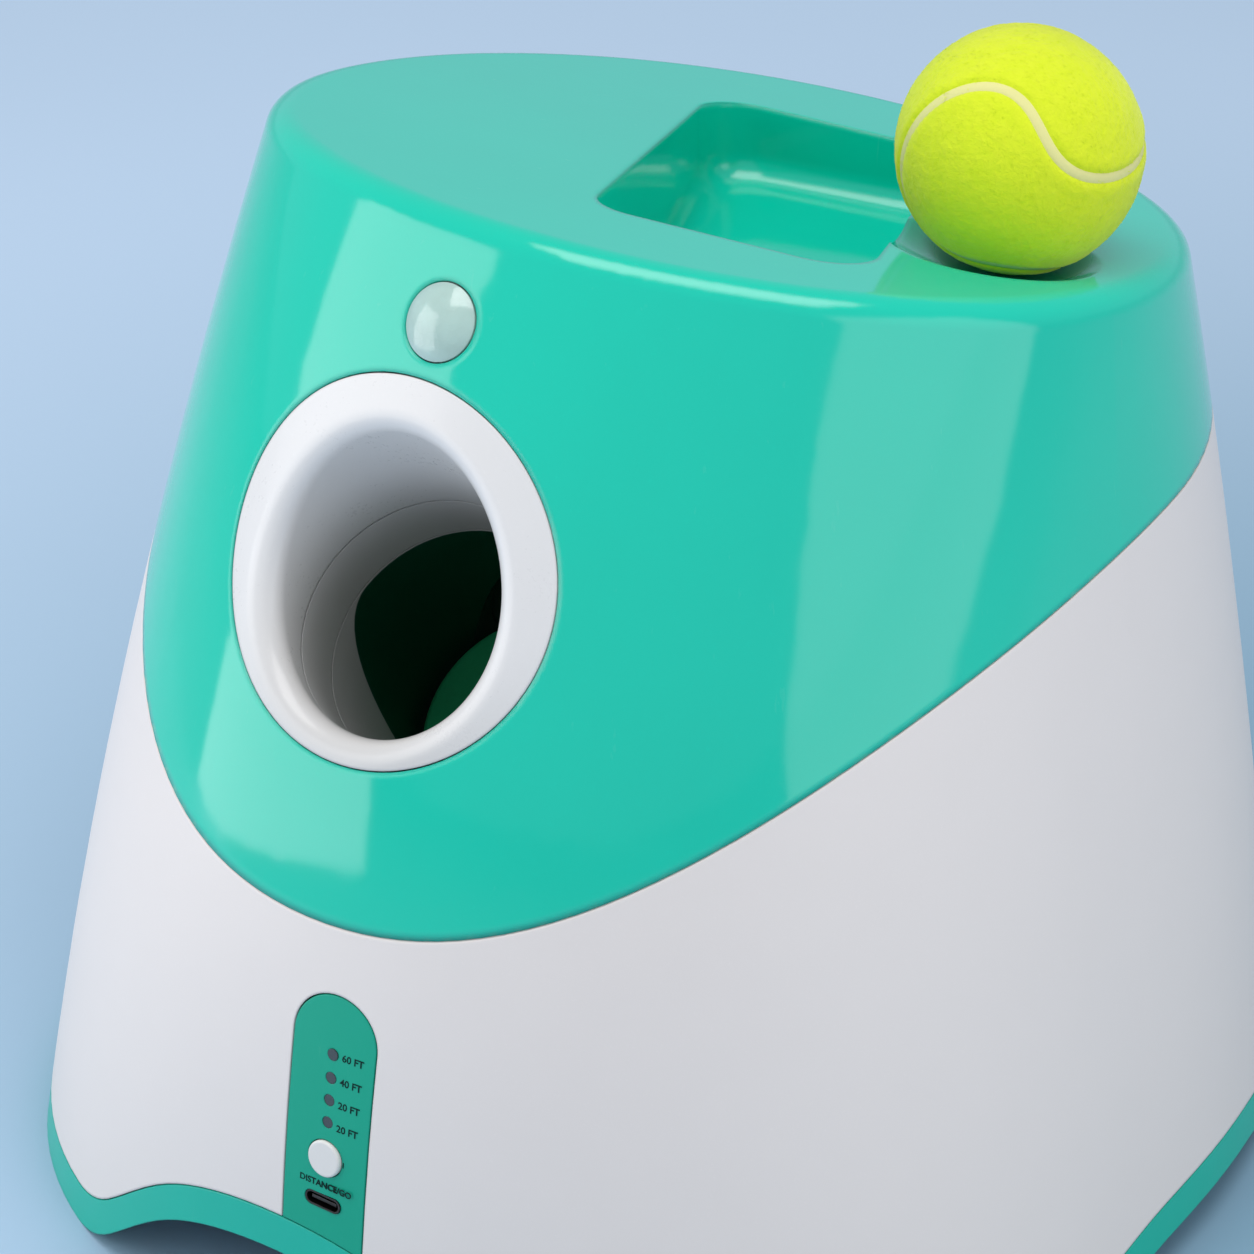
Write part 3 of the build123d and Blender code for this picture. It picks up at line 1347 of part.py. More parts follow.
# ---------------------------------------------------------------- ball switch on the chute
switch_plane = chute_plane(switch_distance)
pivot_place = switch_plane.from_local_coords(pivot_spot)
tip_place = switch_plane.from_local_coords(tip_spot)
pivot_direction = switch_plane.y_dir


def pivot_plane(setback):
    """Plane across the lever's pin, set back from its middle along the pin."""
    place = pivot_place - pivot_direction * setback
    return Plane(origin=place, x_dir=switch_plane.x_dir, z_dir=pivot_direction)


with BuildPart() as ball_switch:
    add(block(switch_plane, switch_size, switch_spot))
    for side in (-1, 1):
        ear_spot = (pivot_spot[0] + pin_radius / 2, side * switch_ear_offset, pivot_spot[2])
        add(block(switch_plane, switch_ear_size, ear_spot))
    cut(rod(pivot_plane(reach), 2 * reach, pin_radius + shaft_clearance))
save(ball_switch.part, "ball_switch")

blade = tip_place - pivot_place
with BuildPart() as ball_switch_lever:
    blade_plane = Plane(origin=pivot_place, x_dir=pivot_direction, z_dir=blade)
    add(block(blade_plane, (*blade_size, blade.length), (0, 0, blade.length / 2)))
    add(rod(pivot_plane(blade_eye_length / 2), blade_eye_length, blade_eye_radius))
    add(rod(pivot_plane(pin_length / 2), pin_length, pin_radius))
save(ball_switch_lever.part, "ball_switch_lever")

# ---------------------------------------------------------------- ball
with BuildPart() as tennis_ball:
    with Locations(dish_bottom + Vector(0, 0, ball_diameter / 2 + ball_lift)):
        Sphere(ball_diameter / 2)
save(tennis_ball.part, "tennis_ball")
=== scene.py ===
"""Looks of an automatic ball launcher for small dogs: finishes, small parts, light and camera.

The launcher's solids come in as a fixed frame. The classes below dress its sub-assemblies, add the
launch spring, the printed marks and the felt ball, which are made here, and light the whole. All
sizes are in metres, +Z is up and the muzzle faces -Y.
"""

from __future__ import annotations

import logging
import math
import random
from abc import ABC, abstractmethod
from dataclasses import dataclass, field
from enum import Enum

import bpy
import bmesh
from mathutils import Matrix, Vector, kdtree, noise


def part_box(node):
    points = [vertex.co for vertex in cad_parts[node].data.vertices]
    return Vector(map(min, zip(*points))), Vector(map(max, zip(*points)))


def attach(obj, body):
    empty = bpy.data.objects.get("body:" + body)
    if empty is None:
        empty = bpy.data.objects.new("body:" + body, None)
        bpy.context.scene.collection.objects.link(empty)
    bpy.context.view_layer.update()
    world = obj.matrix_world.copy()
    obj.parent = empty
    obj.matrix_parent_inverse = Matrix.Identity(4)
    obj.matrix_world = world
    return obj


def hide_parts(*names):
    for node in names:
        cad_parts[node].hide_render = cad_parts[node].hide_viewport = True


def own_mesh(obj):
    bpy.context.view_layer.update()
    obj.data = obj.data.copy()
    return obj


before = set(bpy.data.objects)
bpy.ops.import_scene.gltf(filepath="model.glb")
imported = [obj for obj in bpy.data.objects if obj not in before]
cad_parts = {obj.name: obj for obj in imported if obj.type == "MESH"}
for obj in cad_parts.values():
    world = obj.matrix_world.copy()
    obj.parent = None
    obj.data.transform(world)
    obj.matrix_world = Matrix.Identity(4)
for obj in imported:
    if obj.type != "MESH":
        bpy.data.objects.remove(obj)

LOG = logging.getLogger("ball_launcher")
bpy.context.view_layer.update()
Triple = tuple[float, float, float]
Colour = Triple
Pair = tuple[float, float]
Piece, Material, Socket = bpy.types.Object, bpy.types.Material, bpy.types.NodeSocket
MM = 0.001
MICRON = 0.000001
MIX_FACTOR, MIX_FIRST, MIX_SECOND, MIX_RESULT = 0, 6, 7, 2  # sockets of a Mix node that mixes colours


# ---- shader tools
class Wave:
    """A number that varies over a surface. Arithmetic on it adds Math nodes."""

    def __init__(self, tree: bpy.types.NodeTree, socket: Socket) -> None:
        """Wrap the output that carries the number."""
        self.tree = tree
        self.socket = socket

    def _math(self, operation: str, first: Wave | float, second: Wave | float = 0.0) -> Wave:
        """Add one Math node.

        Args:
            operation: the Math node's operation.
            first: first number.
            second: second number, where the operation takes two.

        Returns:
            The node's result.
        """
        node = self.tree.nodes.new("ShaderNodeMath")
        node.operation = operation
        for index, value in enumerate((first, second)):
            if isinstance(value, Wave):
                self.tree.links.new(value.socket, node.inputs[index])
            else:
                node.inputs[index].default_value = value
        return Wave(self.tree, node.outputs[0])

    def __add__(self, other: Wave | float) -> Wave:
        """Sum."""
        return self._math("ADD", self, other)

    def __radd__(self, other: float) -> Wave:
        """Sum with a number on the left."""
        return self._math("ADD", other, self)

    def __sub__(self, other: Wave | float) -> Wave:
        """Difference."""
        return self._math("SUBTRACT", self, other)

    def __rsub__(self, other: float) -> Wave:
        """Difference with a number on the left."""
        return self._math("SUBTRACT", other, self)

    def __mul__(self, other: Wave | float) -> Wave:
        """Product."""
        return self._math("MULTIPLY", self, other)

    def __pow__(self, other: float) -> Wave:
        """Power."""
        return self._math("POWER", self, other)

    def __abs__(self) -> Wave:
        """Size without its sign."""
        return self._math("ABSOLUTE", self)

    def positive(self) -> Wave:
        """Give the number where it is over 0, and 0 elsewhere."""
        return self._math("MAXIMUM", self, 0.0)

    def sine(self) -> Wave:
        """Sine of the number."""
        return self._math("SINE", self)

    def step(self, low: float, high: float) -> Wave:
        """Rise smoothly from 0 to 1.

        Args:
            low: number up to which the result is 0.
            high: number from which the result is 1.

        Returns:
            The result.
        """
        node = self.tree.nodes.new("ShaderNodeMapRange")
        node.interpolation_type = "SMOOTHSTEP"
        node.inputs["From Min"].default_value = low
        node.inputs["From Max"].default_value = high
        self.tree.links.new(self.socket, node.inputs["Value"])
        return Wave(self.tree, node.outputs["Result"])


Value = Wave | float | tuple | Socket


class Paint:
    """One procedural material while it is being built."""

    def __init__(self, name: str) -> None:
        """Start a material with a Principled shader on Object coordinates.

        Args:
            name: the material's name.
        """
        self.material = bpy.data.materials.new(name)
        self.material.use_nodes = True
        self.tree = self.material.node_tree
        self.tree.nodes.clear()
        output = self.tree.nodes.new("ShaderNodeOutputMaterial")
        self.shader = self.tree.nodes.new("ShaderNodeBsdfPrincipled")
        self.tree.links.new(self.shader.outputs[0], output.inputs["Surface"])
        self.place = self.tree.nodes.new("ShaderNodeTexCoord").outputs["Object"]

    def node(self, kind: str, settings: dict, inputs: dict) -> bpy.types.Node:
        """Add a node.

        Args:
            kind: the node's type name.
            settings: attributes of the node, which are set first.
            inputs: a value or a link for each named or numbered socket.

        Returns:
            The node.
        """
        node = self.tree.nodes.new(kind)
        for key, value in settings.items():
            setattr(node, key, value)
        for key, value in inputs.items():
            self.put(node.inputs[key], value)
        return node

    def put(self, socket: Socket, value: Value) -> None:
        """Set a socket to a value, or link it.

        Args:
            socket: the input to fill.
            value: a number, a colour, a vector, a Wave or an output socket.
        """
        source = value.socket if isinstance(value, Wave) else value
        if isinstance(source, Socket):
            self.tree.links.new(source, socket)
        elif isinstance(value, tuple) and len(value) == 3 and socket.type == "RGBA":
            socket.default_value = (*value, 1.0)
        else:
            socket.default_value = value

    def stretched(self, scale: Triple, turn: Triple = (0.0, 0.0, 0.0)) -> Socket:
        """Object coordinates that are scaled along each axis and turned by Euler angles."""
        node = self.node("ShaderNodeMapping", {}, {"Vector": self.place, "Rotation": turn, "Scale": scale})
        return node.outputs[0]

    def noise(self, scale: float, detail: float = 2.0, roughness: float = 0.5,
              where: Socket | None = None) -> Wave:
        """Soft noise from 0 to 1.

        Args:
            scale: features per metre.
            detail: number of finer layers.
            roughness: strength of the finer layers.
            where: coordinates, if not the plain ones.

        Returns:
            The noise.
        """
        node = self.node("ShaderNodeTexNoise", {}, {
            "Vector": where or self.place, "Scale": scale, "Detail": detail, "Roughness": roughness})
        return Wave(self.tree, node.outputs[0])

    def cells(self, scale: float, feature: str = "F1", where: Socket | None = None) -> Wave:
        """Distance field of a cell pattern.

        Args:
            scale: cells per metre.
            feature: the cell pattern's feature, such as F1 or DISTANCE_TO_EDGE.
            where: coordinates, if not the plain ones.

        Returns:
            The distance.
        """
        node = self.node("ShaderNodeTexVoronoi", {"feature": feature},
                         {"Vector": where or self.place, "Scale": scale})
        return Wave(self.tree, node.outputs["Distance"])

    def axis(self, name: str) -> Wave:
        """One coordinate, X, Y or Z."""
        node = self.node("ShaderNodeSeparateXYZ", {}, {0: self.place})
        return Wave(self.tree, node.outputs[name])

    def distance(self, point: Triple) -> Wave:
        """Distance from a point."""
        node = self.node("ShaderNodeVectorMath", {"operation": "DISTANCE"}, {0: self.place, 1: point})
        return Wave(self.tree, node.outputs["Value"])

    def blend(self, factor: Wave | float, first: Value, second: Value) -> Socket:
        """Mix two colours.

        Args:
            factor: share of the second.
            first: first colour.
            second: second colour.

        Returns:
            The mixed colour's output.
        """
        node = self.node("ShaderNodeMix", {"data_type": "RGBA"},
                         {MIX_FACTOR: factor, MIX_FIRST: first, MIX_SECOND: second})
        return node.outputs[MIX_RESULT]

    def relief(self, height: Wave, depth: float, corner: float = 0.0) -> Socket:
        """Normal with a fine relief, and with softened corners.

        Args:
            height: relief from 0 to 1.
            depth: height of the relief in metres.
            corner: radius by which sharp corners look rounded, in metres.

        Returns:
            The normal's output.
        """
        inputs: dict = {"Height": height, "Distance": depth, "Strength": 1.0}
        if corner:
            inputs["Normal"] = self.node("ShaderNodeBevel", {"samples": 6}, {"Radius": corner}).outputs[0]
        return self.node("ShaderNodeBump", {}, inputs).outputs[0]

    def surface(self, **values: Value) -> None:
        """Fill the Principled shader's sockets, whose names have underscores for spaces."""
        for name, value in values.items():
            self.put(self.shader.inputs[name.replace("_", " ")], value)


def lighter(colour: Colour, share: float) -> Colour:
    """Linear colour moved by a share of its way to white, or to black where the share is negative."""
    goal = 1.0 if share > 0 else 0.0
    return tuple(c + (goal - c) * abs(share) for c in colour)


def shaded(colour: Colour, share: float) -> Colour:
    """Linear colour with its hue kept, made brighter by a share, or darker where that is negative."""
    return tuple(min(c * (1.0 + share), 1.0) for c in colour)


# ---- finishes
@dataclass(frozen=True)
class Bore:
    """Straight bore that leads back and down from the muzzle."""

    muzzle: Triple = (0.0, -0.11009, 0.1728)
    angle: float = 48.0

    def axis(self) -> Vector:
        """Direction of the bore, from the muzzle inwards."""
        turn = math.radians(self.angle)
        return Vector((0.0, math.cos(turn), -math.sin(turn)))


BORE = Bore()


@dataclass(frozen=True)
class Fade:
    """Change of colour with depth in the bore: painted shade that darkens the bore deeper in, or the change
    of colour at the liner's end.

    Depth is measured along the bore's axis from the middle of the muzzle. With a droop, the line
    lies deeper towards the bore's underside, as on a liner with a slanted end.
    """

    depths: Pair
    colour: Colour
    droop: float = 0.0
    droop_start: float = 6.0 * MM

    def share(self, paint: Paint) -> Wave:
        """Share of the deep colour at each point.

        Args:
            paint: the material to fill.

        Returns:
            The share, from 0 at the first depth to 1 at the second.
        """
        axis = BORE.axis()
        back = paint.axis("Y") - BORE.muzzle[1]
        up = paint.axis("Z") - BORE.muzzle[2]
        depth = back * axis.y + up * axis.z
        if self.droop:
            below = (self.droop_start - (up * axis.y - back * axis.z)).positive()
            depth -= below ** 2 * self.droop
        return depth.step(*self.depths)


@dataclass(frozen=True)
class MattPatchWithPaintedShadow:
    """Matt patch where a ball rests on the surface, with painted shadow: its colour is darkened beside the
    ball.
    """

    node: str
    reach: Pair = (26.6 * MM, 28.4 * MM)
    painted_shadow_darkening: float = 0.30
    roughness: float = 0.34

    def share(self, paint: Paint) -> Wave:
        """Share of the patch at each point, from 1 beside the ball to 0 away from it."""
        return 1.0 - paint.distance(tuple(node_centre(self.node))).step(*self.reach)


@dataclass(frozen=True)
class Finish(ABC):
    """Look of a surface, from which its material is built."""

    name: str
    colour: Colour

    def material(self) -> Material:
        """Build the material.

        Returns:
            The material.
        """
        paint = Paint(self.name)
        self.fill(paint)
        return paint.material

    @abstractmethod
    def fill(self, paint: Paint) -> None:
        """Fill the shader.

        Args:
            paint: the material to fill.
        """


@dataclass(frozen=True)
class Moulded(Finish):
    """Injection-moulded plastic with flow shades, fine texture, handling marks and worn edges."""

    roughness: float
    grain: float = 1500.0
    grain_depth: float = 10 * MICRON
    shade: float = 0.03
    marks: float = 0.1
    coat: float = 0.0
    corner: float = 0.3 * MM
    subsurface: float = 0.0
    specular: float = 0.5
    fade: Fade | None = None
    ball_painted_shadow: MattPatchWithPaintedShadow | None = None

    def fill(self, paint: Paint) -> None:
        """Fill the shader.

        Args:
            paint: the material to fill.
        """
        drawn_down = paint.stretched(scale=(1.0, 1.0, 0.35))
        wiped = paint.stretched(scale=(1.0, 1.0, 2.6), turn=(0.3, 0.2, 0.0))
        scraped = paint.stretched(scale=(1.0, 1.0, 0.05), turn=(0.4, 0.9, 0.2))
        flow = paint.noise(9.0, detail=3.0, roughness=0.6, where=drawn_down)
        cloud = paint.noise(60.0)
        specks = paint.noise(self.grain, roughness=0.7)
        smears = paint.noise(34.0, detail=4.0, roughness=0.65, where=wiped)
        scratches = paint.noise(420.0, detail=3.0, roughness=0.6, where=scraped)
        hair = scratches.step(0.68, 0.74)
        mix = flow * 0.7 + cloud * 0.3
        dark, light = shaded(self.colour, -self.shade), shaded(self.colour, self.shade)
        base = paint.blend(mix.step(0.25, 0.75), dark, light)
        base = paint.blend(specks.step(0.55, 0.9) * 0.2, base, shaded(self.colour, 0.2))
        base = paint.blend(hair * 0.03, base, lighter(self.colour, 0.4))
        # Painted shade deeper in the bore for the ring and the tube; on the chamber the fade is the liner's
        # colour change.
        if self.fade:
            base = paint.blend(self.fade.share(paint), base, self.fade.colour)
        rough = self.roughness + (smears - 0.5) * self.marks + hair * (self.marks * 0.4)
        rough += (specks - 0.5) * 0.03
        # Painted shadow: the surface beside the resting ball is darkened, and it is made matt as well.
        if self.ball_painted_shadow:
            beside_ball = self.ball_painted_shadow.share(paint)
            base = paint.blend(beside_ball, base, shaded(self.colour, -self.ball_painted_shadow.painted_shadow_darkening))
            rough += beside_ball * self.ball_painted_shadow.roughness
        normal = paint.relief(specks * 0.75 + cloud * 0.25, self.grain_depth, self.corner)
        paint.surface(Base_Color=base, Roughness=rough, Normal=normal, Coat_Weight=self.coat,
                      Coat_Roughness=0.06, IOR=1.5, Specular_IOR_Level=self.specular,
                      Subsurface_Weight=self.subsurface, Subsurface_Radius=(2.0 * MM,) * 3)


@dataclass(frozen=True)
class Metal(Finish):
    """Drawn, turned or plated metal with fine lines, tarnish clouds and small scratches."""

    roughness: float
    lines: Triple = (1.0, 1.0, 14.0)
    tarnish: Colour = (0.25, 0.2, 0.14)
    tarnish_share: float = 0.12

    def fill(self, paint: Paint) -> None:
        """Fill the shader.

        Args:
            paint: the material to fill.
        """
        drawn = paint.noise(220.0, detail=4.0, roughness=0.7, where=paint.stretched(self.lines))
        cloud = paint.noise(90.0, detail=4.0, roughness=0.6)
        pits = paint.cells(900.0)
        base = paint.blend(cloud.step(0.45, 0.8) * self.tarnish_share, self.colour, self.tarnish)
        base = paint.blend(drawn.step(0.3, 0.8) * 0.12, base, lighter(self.colour, 0.35))
        rough = self.roughness + (drawn - 0.5) * 0.16 + (cloud - 0.5) * 0.1
        normal = paint.relief(drawn * 0.8 + pits * 0.2, depth=12 * MICRON, corner=0.15 * MM)
        paint.surface(Base_Color=base, Roughness=rough, Metallic=1.0, Normal=normal)


@dataclass(frozen=True)
class Rubber(Finish):
    """Soft rubber with a matt bloom, fine pimples and dust in its grain."""

    dust: float = 0.2
    dust_colour: Colour = (0.3, 0.29, 0.27)

    def fill(self, paint: Paint) -> None:
        """Fill the shader.

        Args:
            paint: the material to fill.
        """
        bloom = paint.noise(70.0, detail=4.0, roughness=0.6)
        pimples = paint.cells(850.0)
        dust = paint.noise(600.0, detail=3.0, roughness=0.7).step(0.6, 0.8)
        base = paint.blend(bloom.step(0.4, 0.75) * 0.35, self.colour, lighter(self.colour, self.dust * 0.6))
        base = paint.blend(dust * self.dust, base, self.dust_colour)
        rough = 0.78 + (bloom - 0.5) * 0.14
        paint.surface(Base_Color=base, Roughness=rough, Specular_IOR_Level=0.35,
                      Normal=paint.relief(1.0 - pimples, depth=50 * MICRON, corner=0.3 * MM))


@dataclass(frozen=True)
class CircuitBoard(Finish):
    """Solder mask over copper tracks, with vias and bare pads."""

    copper: Colour = (0.03, 0.22, 0.08)
    pad: Colour = (0.72, 0.68, 0.55)

    def fill(self, paint: Paint) -> None:
        """Fill the shader.

        Args:
            paint: the material to fill.
        """
        grid = paint.node("ShaderNodeTexBrick", {"offset": 0.5}, {
            "Vector": paint.place, "Scale": 130.0, "Mortar Size": 0.035, "Mortar Smooth": 0.1,
            "Color1": (0.0, 0.0, 0.0), "Color2": (0.0, 0.0, 0.0), "Mortar": (1.0, 1.0, 1.0)})
        track = Wave(paint.tree, grid.outputs["Fac"])
        pour = paint.noise(55.0, detail=1.0).step(0.52, 0.53)
        dots = 1.0 - paint.cells(260.0).step(0.10, 0.14)
        lit = paint.noise(48.0, detail=0.0).step(0.55, 0.56)
        base = paint.blend(track * 0.8 + pour * 0.2, self.colour, self.copper)
        base = paint.blend(dots * lit, base, self.pad)
        height = track * 0.4 + pour * 0.2 + dots * lit * 0.4
        paint.surface(Base_Color=base, Roughness=0.32 - dots * lit * 0.08, Metallic=dots * lit,
                      Normal=paint.relief(height, depth=30 * MICRON, corner=0.1 * MM))


@dataclass(frozen=True)
class Felt(Finish):
    """Wool felt: matted fibres, tufts, darker hollows and a soft sheen."""

    hollow: Colour
    tip: Colour
    sheen: float = 0.95
    sheen_roughness: float = 0.4

    def fill(self, paint: Paint) -> None:
        """Fill the shader.

        Args:
            paint: the material to fill.
        """
        swirl = paint.noise(140.0, detail=3.0, roughness=0.6)
        warped = paint.node("ShaderNodeVectorMath", {"operation": "MULTIPLY_ADD"}, {
            0: swirl, 1: (0.004, 0.006, 0.005), 2: paint.place}).outputs[0]
        combed = paint.stretched(scale=(1.0, 5.0, 2.0), turn=(0.7, 0.3, 1.1))
        fibres = paint.noise(900.0, detail=5.0, roughness=0.75, where=warped)
        strands = paint.noise(380.0, detail=4.0, roughness=0.7, where=combed)
        tufts = paint.cells(330.0, where=warped)
        matted = fibres * 0.5 + strands * 0.3 + (1.0 - tufts) * 0.2
        base = paint.blend(matted.step(0.30, 0.62), self.hollow, self.colour)
        base = paint.blend(matted.step(0.58, 0.78) * 0.55, base, self.tip)
        paint.surface(Base_Color=base, Roughness=0.92, Specular_IOR_Level=0.15,
                      Normal=paint.relief(matted, depth=450 * MICRON), Sheen_Weight=self.sheen,
                      Sheen_Roughness=self.sheen_roughness, Sheen_Tint=lighter(self.tip, 0.25))


@dataclass(frozen=True)
class Frosted(Finish):
    """Milky see-through plastic, with fine facets where it is a lens."""

    transmission: float
    roughness: float
    facets: float = 0.0

    def fill(self, paint: Paint) -> None:
        """Fill the shader.

        Args:
            paint: the material to fill.
        """
        haze = paint.noise(300.0, detail=4.0, roughness=0.6)
        cloud = paint.noise(110.0)
        height = haze * 0.3
        if self.facets:
            height += (1.0 - paint.cells(self.facets, "DISTANCE_TO_EDGE").step(0.0, 0.09)) * 0.7
        base = paint.blend(cloud.step(0.3, 0.7), self.colour, lighter(self.colour, -0.12))
        paint.surface(Base_Color=base, Roughness=self.roughness + (haze - 0.5) * 0.1, IOR=1.45,
                      Coat_Weight=0.8, Coat_Roughness=0.08, Transmission_Weight=self.transmission,
                      Normal=paint.relief(height, depth=20 * MICRON, corner=0.2 * MM))


@dataclass(frozen=True)
class ShrinkWrap(Finish):
    """Battery sleeve: glossy film drawn tight, with folds and faint cell shapes."""

    cell_waves: float = 95.0

    def fill(self, paint: Paint) -> None:
        """Fill the shader.

        Args:
            paint: the material to fill.
        """
        folds = paint.noise(150.0, detail=3.0, roughness=0.6, where=paint.stretched((0.25, 1.0, 1.0)))
        pull = (paint.axis("X") * self.cell_waves).sine()
        base = paint.blend(folds.step(0.4, 0.8) * 0.4, self.colour, lighter(self.colour, 0.18))
        height = folds * 0.6 + abs(pull) * 0.4
        paint.surface(Base_Color=base, Roughness=0.24 + (folds - 0.5) * 0.2, Coat_Weight=0.3,
                      Normal=paint.relief(height, depth=180 * MICRON, corner=0.4 * MM))


class Palette(Enum):
    """Linear colours of the launcher."""

    HOOD = (0.001, 0.550, 0.392)
    SHELL = (0.770, 0.715, 0.690)
    SKIRT = (0.002, 0.450, 0.335)
    PANEL = (0.001, 0.350, 0.228)
    RING = (0.725, 0.712, 0.705)
    CHAMBER = (0.001, 0.030, 0.014)
    DARK = (0.022, 0.024, 0.026)
    STAGE = (0.520, 0.685, 0.885)
    # Colour of the floor's painted shadow.
    STAGE_PAINTED_SHADOW = (0.215, 0.370, 0.500)
    FELT = (0.700, 0.815, 0.028)
    SEAM = (0.740, 0.715, 0.290)


# Painted shade: the bore's walls turn from their own colour to a darker grey from 6 to 36 mm deep.
PAINTED_BORE_SHADE = Fade((6.0 * MM, 36.0 * MM), (0.32, 0.32, 0.31))
LINER_END = Fade((38.3 * MM, 38.9 * MM), Palette.CHAMBER.value, droop=68.0)

FINISHES: dict[str, Finish] = {
    # The hood's dish gets a painted shadow beside the ball.
    "hood": Moulded(
        "gloss_green_cover", Palette.HOOD.value, 0.08, grain=900.0, grain_depth=2 * MICRON, shade=0.02,
        marks=0.03, corner=2.0 * MM, specular=0.68, ball_painted_shadow=MattPatchWithPaintedShadow("tennis_ball")),
    "shell": Moulded(
        "satin_white_cover", Palette.SHELL.value, 0.42, grain=1700.0, grain_depth=12 * MICRON, shade=0.012,
        marks=0.08, corner=0.8 * MM),
    "skirt": Moulded("satin_green_band", Palette.SKIRT.value, 0.30, marks=0.08, corner=0.5 * MM),
    "panel": Moulded(
        "satin_green_strip", Palette.PANEL.value, 0.38, marks=0.08, corner=0.4 * MM, specular=0.35),
    "ring": Moulded(
        "gloss_white_ring", Palette.RING.value, 0.28, grain=1100.0, grain_depth=4 * MICRON, shade=0.01,
        marks=0.03, coat=0.12, corner=0.8 * MM, fade=PAINTED_BORE_SHADE),
    "button": Moulded(
        "white_button", (0.73, 0.71, 0.69), 0.34, grain_depth=6 * MICRON, shade=0.01, marks=0.06,
        corner=0.4 * MM),
    "tube": Moulded(
        "grey_barrel_liner", Palette.RING.value, 0.32, grain=1300.0, grain_depth=6 * MICRON, shade=0.02,
        fade=PAINTED_BORE_SHADE),
    "chamber": Moulded(
        "dark_green_chamber", (0.34, 0.34, 0.33), 0.34, grain=1300.0, shade=0.08, marks=0.12,
        specular=0.25, fade=LINER_END),
    "base": Moulded(
        "matt_white_base", (0.66, 0.66, 0.68), 0.55, grain_depth=30 * MICRON, marks=0.08, corner=0.4 * MM),
    "frame": Moulded(
        "dark_glass_filled", (0.035, 0.037, 0.04), 0.5, grain=1900.0, grain_depth=40 * MICRON, shade=0.12,
        marks=0.12),
    "gear": Moulded(
        "natural_acetal", (0.72, 0.70, 0.63), 0.38, grain_depth=6 * MICRON, corner=0.15 * MM,
        subsurface=0.15),
    "plunger": Moulded("ivory_nylon", (0.62, 0.60, 0.53), 0.42, shade=0.04, subsurface=0.1),
    "component": Moulded(
        "black_component", Palette.DARK.value, 0.46, grain=2600.0, grain_depth=20 * MICRON, shade=0.15,
        marks=0.14, corner=0.2 * MM),
    "window": Moulded(
        "smoked_window", (0.028, 0.034, 0.037), 0.12, grain_depth=2 * MICRON, shade=0.1, marks=0.05,
        coat=0.6, corner=0.2 * MM),
    "cone": Moulded(
        "speaker_cone", (0.03, 0.03, 0.032), 0.7, grain=1200.0, grain_depth=60 * MICRON, shade=0.2),
    "foot": Rubber("grey_foot_rubber", (0.055, 0.060, 0.062)),
    "pad": Rubber("green_plunger_rubber", (0.003, 0.300, 0.110), dust=0.03),
    "zinc": Metal("zinc_screw", (0.62, 0.62, 0.64), 0.34),
    "steel": Metal("ground_steel", (0.60, 0.60, 0.62), 0.24, lines=(14.0, 1.0, 1.0)),
    "spring": Metal("spring_wire", (0.56, 0.56, 0.58), 0.26, lines=(2.0, 2.0, 2.0)),
    "brass": Metal(
        "turned_brass", (0.78, 0.56, 0.22), 0.26, lines=(10.0, 1.0, 1.0), tarnish=(0.35, 0.2, 0.06),
        tarnish_share=0.2),
    "inlet": Metal("dark_nickel_shell", (0.055, 0.045, 0.040), 0.4, tarnish=(0.05, 0.03, 0.02)),
    "can": Metal("motor_can", (0.58, 0.58, 0.59), 0.32, lines=(0.4, 6.0, 6.0)),
    "board": CircuitBoard("circuit_board", (0.008, 0.10, 0.035)),
    "led": Frosted("clear_led", (0.86, 0.86, 0.80), transmission=0.7, roughness=0.1),
    "lens": Frosted(
        "frosted_sensor_dome", (0.58, 0.80, 0.73), transmission=0.30, roughness=0.16, facets=520.0),
    "wrap": ShrinkWrap("battery_sleeve", (0.015, 0.06, 0.20)),
    "felt": Felt("tennis_felt", Palette.FELT.value, hollow=(0.66, 0.80, 0.020), tip=(0.84, 0.94, 0.08)),
    "seam": Moulded(
        "ball_seam_rubber", Palette.SEAM.value, 0.72, grain=900.0, grain_depth=80 * MICRON, shade=0.05,
        corner=0.0),
    "ink": Moulded(
        "dark_green_ink", (0.003, 0.022, 0.018), 0.6, grain=2600.0, grain_depth=4 * MICRON, shade=0.1,
        corner=0.0, specular=0.15),
}


class Wardrobe:
    """Makes each finish once and puts it on nodes and pieces."""

    def __init__(self) -> None:
        """Start with no material made."""
        self.made: dict[str, Material] = {}

    def finish(self, name: str) -> Material:
        """Material of a finish.

        Args:
            name: key in FINISHES.

        Returns:
            The material, made on its first use.
        """
        if name not in self.made:
            self.made[name] = FINISHES[name].material()
        return self.made[name]

    def dress(self, piece: Piece, name: str) -> None:
        """Put one finish on a piece or a node."""
        piece.data.materials.clear()
        piece.data.materials.append(self.finish(name))

    def dress_nodes(self, name: str, nodes: tuple[str, ...]) -> None:
        """Put one finish on several nodes of the frame.

        Args:
            name: key in FINISHES.
            nodes: names of the nodes.
        """
        for node in nodes:
            self.dress(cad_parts[node], name)
        LOG.info("%s: %s", name, ", ".join(nodes))


# ---- modelling tools
def named(name: str) -> Piece:
    """Name the object that was just added.

    Args:
        name: the name for the object and its mesh.

    Returns:
        The object.
    """
    piece = bpy.context.object
    piece.name = name
    piece.data.name = name
    return piece


def added(name: str, data: bpy.types.ID) -> Piece:
    """Add an object of the scene.

    Args:
        name: its name.
        data: its mesh, lamp or camera.

    Returns:
        The object.
    """
    item = bpy.data.objects.new(name, data)
    bpy.context.scene.collection.objects.link(item)
    return item


